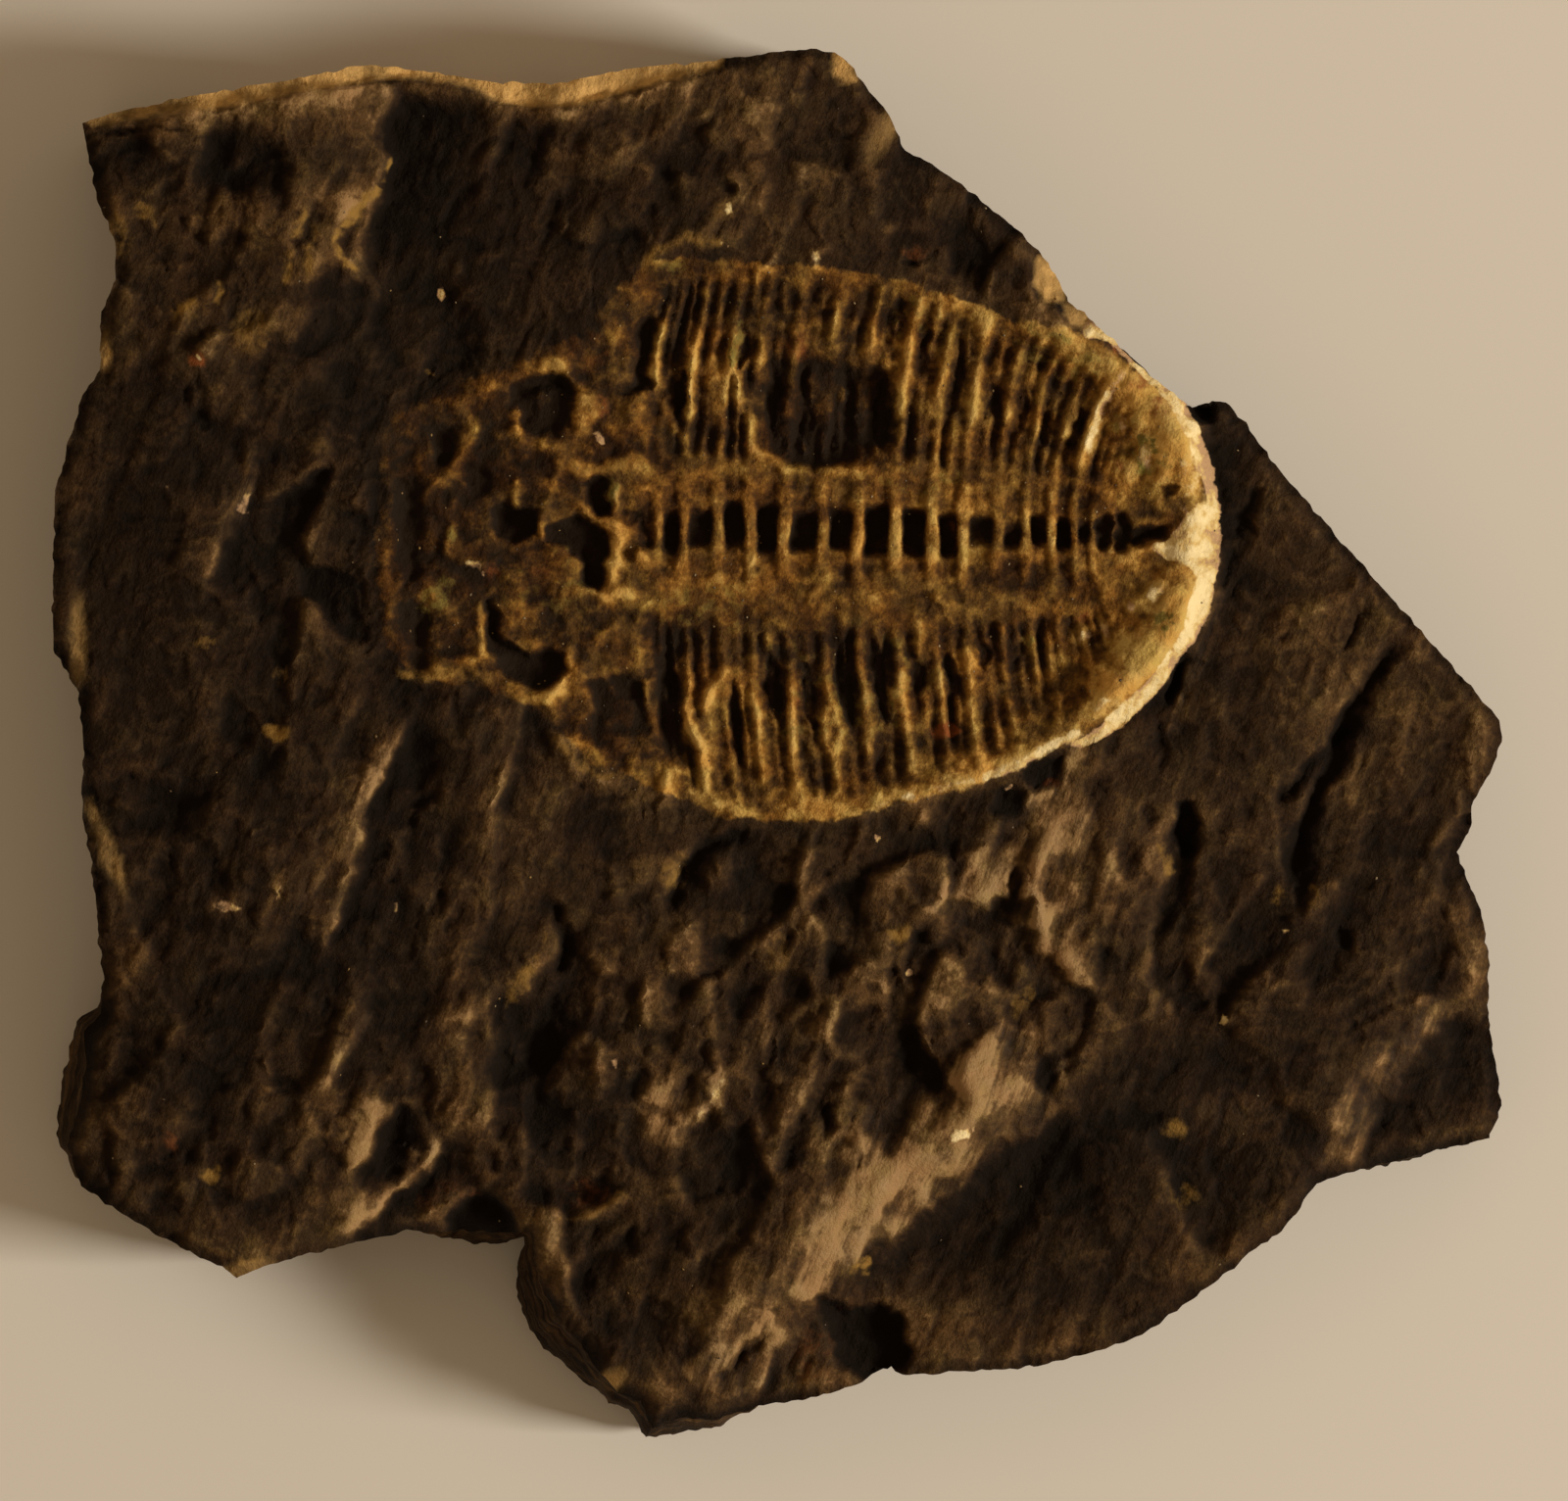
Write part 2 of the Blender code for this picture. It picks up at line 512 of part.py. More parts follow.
def fine_slab():
    """The slab as a fine mesh: the front face, the broken side in layers, and the flat back."""
    outline = broken_outline()
    normals = outward(outline)
    inset = EDGE_INSET + slant(outline[:, 0], outline[:, 1], INSET)
    edge_ring = outline - normals * inset[:, None]
    border = tuple(map(tuple, outline))
    inner = face_places(edge_ring)
    flat = np.vstack((edge_ring, inner))
    heights = face_height(flat[:, 0], flat[:, 1], depth_inside(flat[:, 0], flat[:, 1], border))
    count = len(outline)
    loop = [(i, (i + 1) % count) for i in range(count)]
    _, _, triangles, sources, _, _ = delaunay_2d_cdt(
        [Vector(place) for place in flat], loop, [list(range(count))], 1, 1e-7
    )
    if len(sources) != len(flat):
        raise ValueError("the front edge crosses itself")

    mesh = bmesh.new()
    rings = []
    for share, layer_in in SIDE_LAYERS[:-1]:
        slope = ease((share - SLANT_START) / (1.0 - SLANT_START))
        lumps = [noise.noise(Vector((*place / LAYER_LUMP, share * SEED))) for place in outline]
        back = layer_in + slope * (inset - EDGE_INSET) + LAYER_CRUMBLE * (0.6 + np.array(lumps))
        ring = outline - normals * back[:, None]
        levels = heights[:count] * share
        rings.append([mesh.verts.new(world(x, y, z)) for (x, y), z in zip(ring, levels)])
    face = [mesh.verts.new(world(x, y, z)) for (x, y), z in zip(flat, heights)]
    rings.append(face[:count])
    for low, high in zip(rings[:-1], rings[1:]):
        for i, j in loop:
            mesh.faces.new((low[i], high[i], high[j], low[j]))
    for corners in triangles:
        mesh.faces.new([face[sources[i][0]] for i in corners])
    mesh.faces.new(rings[0])
    bmesh.ops.recalc_face_normals(mesh, faces=mesh.faces[:])
    return mesh


def shale_material():
    """Dark brown shale with a matt surface."""
    material = bpy.data.materials.new("dark shale")
    material.use_nodes = True
    shader = material.node_tree.nodes["Principled BSDF"]
    shader.inputs["Base Color"].default_value = (0.075, 0.053, 0.033, 1.0)
    shader.inputs["Roughness"].default_value = 0.72
    shader.inputs["Metallic"].default_value = 0.0
    return material


def thin_out(slab):
    """Keeps the triangles that carry the relief, and leaves the back exactly flat."""
    slab.data.calc_loop_triangles()
    reducer = slab.modifiers.new("thin out", "DECIMATE")
    reducer.ratio = TRIANGLES / len(slab.data.loop_triangles)
    reducer.use_collapse_triangulate = True
    graph = bpy.context.evaluated_depsgraph_get()
    thinned = bpy.data.meshes.new_from_object(slab.evaluated_get(graph))
    slab.modifiers.clear()
    mesh = bmesh.new()
    mesh.from_mesh(thinned)
    bpy.data.meshes.remove(thinned)
    for vert in mesh.verts:
        if vert.co.z < FLAT_BACK:
            vert.co.z = 0.0
    bmesh.ops.recalc_face_normals(mesh, faces=mesh.faces[:])
    mesh.to_mesh(slab.data)
    mesh.free()


def main():
    for old in list(bpy.data.objects):
        bpy.data.objects.remove(old, do_unlink=True)
    collection = bpy.data.collections.new("conocoryphe trilobite")
    bpy.context.scene.collection.children.link(collection)
    mesh = fine_slab()
    data = bpy.data.meshes.new(NAME)
    mesh.to_mesh(data)
    mesh.free()
    slab = bpy.data.objects.new(NAME, data)
    collection.objects.link(slab)
    data.materials.append(shale_material())
    thin_out(slab)


if __name__ == "__main__":
    main()
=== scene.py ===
"""Plate of dark shale with the hollow, rust-coated imprint of a trilobite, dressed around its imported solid.

Shapes on the face are drawn on a square grid, x to the right and y down, seen from above.
Heights are in millimetres above the flat back.
"""

import math

import bmesh
import bpy
import numpy as np
from bpy.props import FloatProperty, FloatVectorProperty, IntProperty, PointerProperty
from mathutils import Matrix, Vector, noise
from mathutils.geometry import delaunay_2d_cdt

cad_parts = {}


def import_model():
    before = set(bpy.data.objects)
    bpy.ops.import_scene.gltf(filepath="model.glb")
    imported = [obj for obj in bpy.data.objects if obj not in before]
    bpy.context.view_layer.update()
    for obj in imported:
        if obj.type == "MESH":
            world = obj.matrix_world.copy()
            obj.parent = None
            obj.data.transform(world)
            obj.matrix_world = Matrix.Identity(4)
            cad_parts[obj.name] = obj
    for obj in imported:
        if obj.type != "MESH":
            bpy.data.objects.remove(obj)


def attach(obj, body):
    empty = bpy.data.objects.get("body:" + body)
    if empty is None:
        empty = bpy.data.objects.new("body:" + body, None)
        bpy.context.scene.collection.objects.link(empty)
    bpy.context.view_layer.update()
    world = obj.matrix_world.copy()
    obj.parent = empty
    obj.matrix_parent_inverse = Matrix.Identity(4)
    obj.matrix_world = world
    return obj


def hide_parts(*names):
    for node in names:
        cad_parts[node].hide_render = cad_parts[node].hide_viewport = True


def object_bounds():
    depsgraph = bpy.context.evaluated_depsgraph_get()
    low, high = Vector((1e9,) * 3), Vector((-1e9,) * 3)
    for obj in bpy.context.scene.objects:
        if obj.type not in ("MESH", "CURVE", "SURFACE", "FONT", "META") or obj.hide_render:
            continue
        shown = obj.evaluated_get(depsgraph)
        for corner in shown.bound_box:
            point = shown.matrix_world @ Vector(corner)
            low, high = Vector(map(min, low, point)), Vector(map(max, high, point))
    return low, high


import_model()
CAD_LOW, CAD_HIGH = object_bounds()

bl_info = {
    "name": "Trilobite imprint in shale",
    "version": (1, 0, 0),
    "blender": (4, 5, 0),
    "location": "3D View > Sidebar > Fossil",
    "description": "Builds a broken shale plate with the hollow imprint of a trilobite, and a stage for it",
    "category": "Add Mesh",
}

SOLID = "trilobite_slab"
BODY = "root"

# Driving sizes, in metres
BODY_LENGTH = 0.070
MILLIMETRE = 0.001

# The drawing grid: the body is this many squares long, and the slab's middle is at the centre
BODY_SQUARES = 875
SQUARE = BODY_LENGTH / BODY_SQUARES
GRID_CENTRE = (794.5, 762.5)
VIEW_CENTRE = (800.0, 766.0)
VIEW_SQUARES = 1600

# The relief map: its corner and its pitch, in squares, and its columns and rows
MAP_CORNER = (30.0, 30.0)
MAP_PITCH = 2.0
MAP_SIZE = (775, 740)

# Mesh density before each triangle is split in four, in squares
FOSSIL_SPACING = 4.6
STONE_SPACING = 8.4
EDGE_SPACING = 8.0
FINE_MARGIN = 26.0
JITTER = 0.15
BORDER_GAP = 0.7
ROW_STEP = 0.87
NORMAL_STEPS = 8
SIDE_LEVELS = 22
FLAT_BACK = 0.0001
SHARP_ANGLE = 60.0

# Broken outline of the slab, clockwise from its top left corner
OUTLINE = (
    (84, 125), (117, 115), (204, 97), (286, 84), (378, 66), (423, 71), (500, 79), (561, 82), (638, 69),
    (714, 64), (800, 53), (831, 50), (851, 54), (866, 66), (884, 90), (902, 112), (922, 153), (940, 162),
    (979, 187), (1026, 225), (1062, 258), (1078, 278), (1091, 306), (1152, 357), (1208, 408), (1218, 415),
    (1238, 409), (1252, 411), (1259, 418), (1310, 485), (1412, 602), (1530, 735), (1533, 752), (1524, 781),
    (1503, 820), (1499, 850), (1487, 870), (1509, 924), (1519, 970), (1520, 1010), (1522, 1052),
    (1532, 1100), (1535, 1133), (1524, 1164), (1438, 1189), (1361, 1205), (1346, 1210), (1310, 1256),
    (1280, 1276), (1244, 1307), (1167, 1363), (1127, 1378), (1060, 1396), (1019, 1399), (933, 1404),
    (902, 1399), (880, 1412), (851, 1422), (800, 1435), (775, 1440), (735, 1463), (658, 1475), (641, 1445),
    (620, 1438), (587, 1409), (541, 1363), (530, 1330), (528, 1295), (531, 1269), (500, 1276), (459, 1269),
    (413, 1258), (357, 1269), (306, 1281), (260, 1295), (240, 1304), (226, 1292), (189, 1276), (133, 1246),
    (77, 1215), (54, 1174), (54, 1145), (60, 1095), (71, 1047), (92, 1031), (101, 1000), (98, 919),
    (92, 870), (84, 835), (85, 760), (80, 705), (54, 662), (54, 592), (56, 500), (84, 403), (102, 378),
    (104, 318), (119, 285), (118, 245), (100, 205),
)

# Each level of the broken side: share of the face's height, and how far in it lies
SIDE_LAYERS = ((0.0, 11), (0.16, 3), (0.34, 5), (0.40, 1), (0.62, 0), (0.70, 3), (0.88, 1), (1.0, 3))

# Places where the side slants and shows from above: x, y, reach, inset, fall in millimetres.
# The columns of the inset and of the fall have names.
INSET = 3
FALL = 4
SLANTS = (
    (540, 92, 95, 5, 0.3), (1076, 290, 42, 3, 0.2), (1160, 372, 60, 6, 0.2), (72, 1110, 90, 26, 2.4),
    (560, 1360, 95, 34, 2.6), (690, 1455, 70, 20, 1.8), (470, 1262, 45, 8, 1.2), (1440, 1180, 90, 6, 0.8),
)

# Worn front edge: how far in it starts, how far it falls, and the reach of the slanting stretches
EDGE_INSET = 3.0
EDGE_FALL = 0.45
EDGE_POWER = 1.5
EDGE_REACH = 16.0
SLANT_REACH = 1.6
SLANT_START = 0.3

# How far from the slab's and the fossil's outlines distances are measured
EDGE_BAND = 90.0
FOSSIL_BAND = 90.0

# Broad lie of the face: x, y, height
LIE = (
    (90, 130, 14.8), (180, 190, 15.9), (290, 110, 16.6), (300, 200, 16.9), (250, 300, 16.4),
    (404, 170, 14.5), (395, 300, 14.5), (440, 100, 14.4), (520, 200, 14.8), (620, 120, 15.3),
    (620, 300, 15.3), (800, 90, 15.8), (760, 180, 15.8), (860, 160, 15.6), (940, 220, 15.1),
    (1030, 270, 15.4), (1300, 520, 13.9), (1400, 640, 14.1), (1480, 760, 14.5), (1300, 700, 14.2),
    (1285, 600, 13.8), (1275, 480, 13.9), (1240, 700, 14.2), (1150, 820, 14.5), (1050, 860, 14.8),
    (1260, 900, 14.0), (1400, 900, 14.3), (1480, 960, 14.0), (1330, 1050, 14.2), (1200, 1080, 13.9),
    (1100, 1040, 14.4), (1450, 1130, 12.3), (1500, 1100, 12.2), (1230, 1200, 13.1), (1130, 1180, 12.5),
    (1000, 1300, 12.3), (1150, 1330, 12.5), (1050, 1380, 12.4), (1330, 1180, 13.8), (950, 1100, 14.6),
    (850, 1100, 14.7), (750, 1100, 14.6), (760, 1250, 14.4), (680, 1300, 14.0), (640, 1380, 13.2),
    (700, 1420, 13.0), (600, 1150, 13.7), (560, 1100, 13.3), (540, 1250, 13.0), (100, 500, 14.6),
    (80, 700, 14.6), (200, 600, 15.3), (300, 600, 14.9), (120, 900, 14.9), (250, 900, 15.4),
    (330, 900, 15.5), (430, 850, 14.3), (500, 850, 15.0), (600, 950, 14.2), (700, 900, 14.4),
    (850, 900, 14.5), (980, 900, 15.0), (900, 1000, 14.9), (90, 1100, 13.8), (150, 1150, 14.6),
    (250, 1150, 15.0), (330, 1100, 15.4), (300, 1240, 14.6), (440, 1225, 12.9), (460, 1100, 14.6),
    (400, 1000, 14.9), (500, 540, 15.2), (700, 540, 15.4), (900, 540, 15.4), (1100, 540, 15.5),
    (800, 350, 15.6), (800, 740, 15.4), (1180, 450, 15.5), (1180, 640, 15.5), (450, 420, 15.0),
    (500, 690, 15.2), (620, 720, 15.0),
)
LIE_BLEND = 38.0
LIE_POWER = 1.7

# Share of a line over which its ends fade
END_FADE = 0.16

# How many widths or reaches away a line, a ledge, a stroke and a spot still count
LINE_CUT = 4.0
LEDGE_CUT = 3.0
STROKE_CUT = 3.0
SPOT_CUT = 1.5

# Cleavage ledges, the low side to the right where the points run down: width, drop, reach, points
LEDGES = (
    (4, 1.1, 20, ((70, 128), (200, 112), (300, 96), (380, 80), (440, 78), (480, 88), (510, 104), (590, 107),
        (640, 92), (700, 78), (780, 58))),
    (6, 0.9, 26, ((1050, 272), (1060, 300), (1084, 320), (1110, 346))),
    (7, 2.0, 70, ((408, 78), (397, 120), (396, 165), (386, 205), (372, 245), (380, 290))),
    (5, 0.8, 30, ((372, 205), (348, 228), (346, 255), (375, 282))),
    (6, 0.9, 55, ((262, 440), (256, 490), (240, 535), (222, 575), (205, 620))),
    (5, 1.3, 55, ((425, 722), (405, 765), (386, 800), (370, 830), (364, 885), (344, 938), (325, 980))),
    (5, 0.7, 40, ((385, 1030), (362, 1058), (344, 1092), (336, 1120))),
    (7, 1.6, 40, ((404, 1118), (392, 1150), (380, 1180), (352, 1205))),
    (6, 1.9, 45, ((440, 1155), (449, 1180), (405, 1222), (372, 1248), (345, 1268))),
    (6, 0.8, 60, ((580, 940), (562, 980), (545, 1000), (530, 1035))),
    (6, 1.0, 60, ((498, 1000), (508, 1070), (502, 1150), (520, 1185))),
    (5, 0.7, 35, ((735, 1092), (728, 1120), (710, 1145), (690, 1160))),
    (40, 3.4, 105, ((1090, 1112), (1040, 1150), (985, 1190), (925, 1235), (870, 1272), (830, 1318),
        (800, 1345), (760, 1378), (712, 1425))),
    (28, 2.2, 85, ((1492, 1012), (1430, 1085), (1400, 1125), (1360, 1180))),
    (6, 0.7, 50, ((1205, 815), (1190, 860), (1192, 900), (1176, 945), (1170, 975), (1178, 1005),
        (1195, 1035), (1212, 1056))),
    (6, 0.8, 45, ((1098, 768), (1084, 798), (1062, 815), (1020, 848), (1000, 880), (975, 900))),
    (5, 0.5, 35, ((1020, 925), (1000, 926), (985, 940), (972, 950))),
    (5, 0.6, 35, ((1005, 960), (1010, 1005), (1028, 1035), (1048, 1052))),
    (5, 0.6, 45, ((840, 935), (800, 955), (795, 985), (780, 1000))),
    (8, 0.9, 60, ((1130, 1128), (1180, 1165), (1205, 1235), (1238, 1295))),
    (6, 0.5, 50, ((520, 760), (505, 850), (500, 930), (470, 1000))),
    (16, 2.0, 66, ((1190, 388), (1218, 432), (1230, 480), (1236, 530), (1238, 570), (1232, 612),
        (1211, 655), (1180, 692), (1142, 726), (1100, 754))),
    (7, 0.6, 60, ((205, 100), (212, 150), (190, 210), (200, 260))),
    (6, 0.5, 40, ((960, 800), (955, 830), (975, 850))),
)

# Small ledges and flakes that only the fine surface shows
SMALL_LEDGES = (
    (4, 0.35, 26, ((372, 700), (358, 735), (340, 765), (330, 800))),
    (4, 0.3, 22, ((330, 610), (327, 640), (335, 672))), (3, 0.3, 16, ((254, 598), (258, 640))),
    (4, 0.35, 22, ((232, 545), (224, 570), (214, 596))), (4, 0.3, 20, ((222, 285), (216, 315), (203, 350))),
    (4, 0.45, 20, ((204, 300), (192, 330), (172, 360))), (4, 0.4, 24, ((320, 200), (308, 232), (296, 262))),
    (5, 0.35, 24, ((1130, 770), (1110, 810), (1108, 850), (1100, 880))),
    (5, 0.35, 24, ((1106, 880), (1080, 930), (1066, 965))),
    (4, 0.3, 20, ((1225, 905), (1205, 940), (1200, 970))),
    (4, 0.4, 22, ((1060, 985), (1042, 1020), (1062, 1050))),
    (4, 0.4, 20, ((896, 1126), (880, 1160), (868, 1195))),
    (4, 0.3, 18, ((790, 1015), (786, 1050), (782, 1078))),
    (4, 0.45, 22, ((755, 1262), (722, 1278), (700, 1304))),
    (3, 0.3, 16, ((445, 905), (448, 940), (440, 950))),
    (4, 0.45, 20, ((930, 960), (915, 1000), (905, 1030))),
    (5, 0.55, 26, ((485, 1240), (440, 1246), (400, 1262))),
    (4, 0.5, 24, ((700, 870), (690, 900), (672, 930))), (4, 0.3, 24, ((158, 976), (190, 955), (215, 945))),
    (4, 0.35, 20, ((640, 1230), (610, 1245), (580, 1256))),
    (3, 0.3, 18, ((1400, 1190), (1404, 1160), (1432, 1145))),
    (4, 0.3, 40, ((1480, 962), (1412, 1004), (1352, 1046), (1290, 1080))),
    (3, 0.22, 40, ((1450, 1020), (1392, 1056), (1330, 1082), (1270, 1094))),
    (4, 0.3, 30, ((1480, 870), (1470, 920), (1440, 960))),
    (4, 0.4, 26, ((902, 165), (892, 200), (900, 232))), (4, 0.4, 26, ((978, 215), (966, 250), (974, 285))),
    (4, 0.35, 22, ((690, 120), (650, 150), (620, 190))),
)

# Cracks and thin furrows: width, depth, points
FURROWS = (
    (9, 1.2, ((1440, 645), (1402, 690), (1380, 725), (1368, 765), (1345, 805), (1328, 860), (1318, 925))),
    (7, 0.8, ((560, 915), (578, 960), (566, 1000))),
    (8, 0.9, ((770, 850), (720, 865), (690, 905), (680, 935))),
    (6, 0.8, ((1300, 830), (1345, 775), (1385, 735))), (5, 0.3, ((706, 1098), (698, 1120), (692, 1136))),
    (7, 0.3, ((940, 1105), (912, 1130), (888, 1172))), (6, 0.6, ((1262, 555), (1272, 520), (1292, 495))),
    (6, 0.7, ((1215, 665), (1200, 690), (1192, 715))),
)
SMALL_FURROWS = (
    (2.5, 0.14, ((852, 1216), (840, 1256), (824, 1302))),
    (3, 0.16, ((934, 1190), (918, 1222), (902, 1252))),
    (2.5, 0.12, ((884, 1196), (868, 1236), (848, 1280))),
    (2.5, 0.14, ((742, 1376), (722, 1396), (708, 1412))),
    (2.5, 0.14, ((1002, 1082), (1004, 1112), (1012, 1140))),
    (3.5, 0.5, ((1392, 618), (1384, 645), (1370, 668))), (3.5, 0.4, ((1322, 640), (1306, 655))),
    (4, 0.2, ((842, 1128), (845, 1160), (838, 1182))), (3.5, 0.4, ((872, 1136), (868, 1156))),
    (4, 0.5, ((780, 1366), (752, 1392), (728, 1416))),
    (3.5, 0.3, ((1460, 1012), (1410, 1034), (1362, 1062))),
    (3.5, 0.5, ((1152, 552), (1172, 545), (1190, 541))), (3.5, 0.3, ((912, 980), (908, 1010))),
    (3, 0.4, ((90, 132), (140, 128), (198, 130))),
)

# Ridges and bumps that aren't ribs: width, height, points
RIDGE_SHARE = 0.8
RIDGES = (
    (6, 0.4, ((560, 1250), (600, 1240), (636, 1224), (626, 1216))),
    (7, 0.5, ((545, 371), (560, 366), (575, 374), (584, 390), (590, 402))),
    (12, 0.5, ((590, 400), (597, 425), (598, 448))),
    (7, 0.45, ((520, 410), (528, 432), (534, 452), (530, 470))),
    (8, 0.5, ((534, 452), (556, 452), (572, 464), (570, 480), (562, 496), (554, 512), (551, 535),
        (549, 556))),
    (8, 0.5, ((478, 420), (480, 445), (468, 470), (450, 490), (430, 498))),
    (6, 0.4, ((462, 500), (461, 525), (462, 550), (456, 570))), (6, 0.45, ((526, 486), (527, 514))),
    (10, 0.4, ((575, 478), (605, 480), (640, 470), (668, 478))),
    (6, 0.5, ((628, 486), (629, 515), (626, 545), (630, 575), (618, 602))),
    (6, 0.4, ((626, 545), (600, 520), (575, 508), (555, 512))),
    (6, 0.4, ((626, 545), (650, 560), (668, 580))), (6, 0.4, ((626, 545), (652, 505), (668, 490))),
    (9, 0.4, ((560, 608), (600, 604), (640, 604), (662, 616), (690, 618))),
    (7, 0.5, ((500, 606), (492, 640), (490, 655), (494, 674))),
    (7, 0.5, ((638, 628), (612, 648), (600, 672), (592, 692), (585, 702))),
    (10, 0.6, ((578, 656), (577, 690), (566, 706), (546, 720))),
    (6, 0.4, ((585, 700), (600, 712), (606, 728))),
    (7, 0.45, ((402, 674), (415, 692), (440, 690), (462, 694), (486, 712))),
    (6, 0.4, ((430, 684), (455, 672), (475, 672), (494, 676))),
    (10, 0.5, ((422, 584), (440, 606), (456, 630))), (7, 0.35, ((390, 550), (394, 600), (400, 645))),
    (6, 0.3, ((378, 540), (374, 595))),
    (7, 0.45, ((565, 740), (575, 766), (590, 786), (615, 796), (644, 796))),
    (6, 0.4, ((626, 710), (620, 732), (628, 756), (642, 772))),
    (6, 0.35, ((660, 686), (662, 730), (668, 774))),
    (7, 0.45, ((700, 708), (702, 738), (714, 766), (722, 804))),
    (7, 0.45, ((704, 778), (684, 798), (676, 828))), (6, 0.35, ((653, 658), (652, 686))),
    (8, 0.45, ((690, 318), (672, 345), (668, 370), (672, 392), (655, 402), (642, 444))),
    (7, 0.35, ((708, 336), (700, 380), (702, 434))), (7, 0.35, ((628, 326), (622, 360), (628, 400))),
    (6, 0.5, ((790, 1350), (788, 1385), (770, 1425))),
    (9, 0.5, ((655, 275), (690, 245), (740, 240), (762, 252))),
    (9, 0.6, ((737, 1098), (728, 1124), (708, 1146))),
)
SMALL_RIDGES = (
    (5, 0.45, ((705, 350), (702, 390), (706, 440))),
    (5, 0.45, ((742, 350), (752, 380), (756, 402), (748, 410))),
    (5, 0.4, ((775, 455), (800, 476), (840, 480), (880, 478))),
    (5, 0.5, ((740, 690), (718, 712), (712, 745), (724, 790), (726, 820))),
    (5, 0.35, ((697, 700), (705, 740), (716, 780))),
    (8, 0.5, ((1100, 482), (1110, 450), (1122, 418), (1146, 378))),
    (5, 0.3, ((735, 180), (752, 182), (756, 200), (740, 206))),
    (5, 0.45, ((795, 262), (775, 275), (768, 300))), (6, 0.5, ((850, 248), (828, 256), (838, 282))),
    (5, 0.35, ((820, 620), (838, 596), (846, 580))), (5, 0.4, ((950, 605), (966, 622), (982, 614))),
    (5, 0.35, ((470, 575), (486, 576), (494, 586))), (5, 0.4, ((1140, 566), (1165, 560), (1192, 556))),
    (5, 0.35, ((1145, 630), (1165, 610), (1190, 590))), (5, 0.35, ((1100, 650), (1112, 640), (1130, 650))),
    (7, 0.3, ((1150, 500), (1166, 460), (1160, 420))),
)

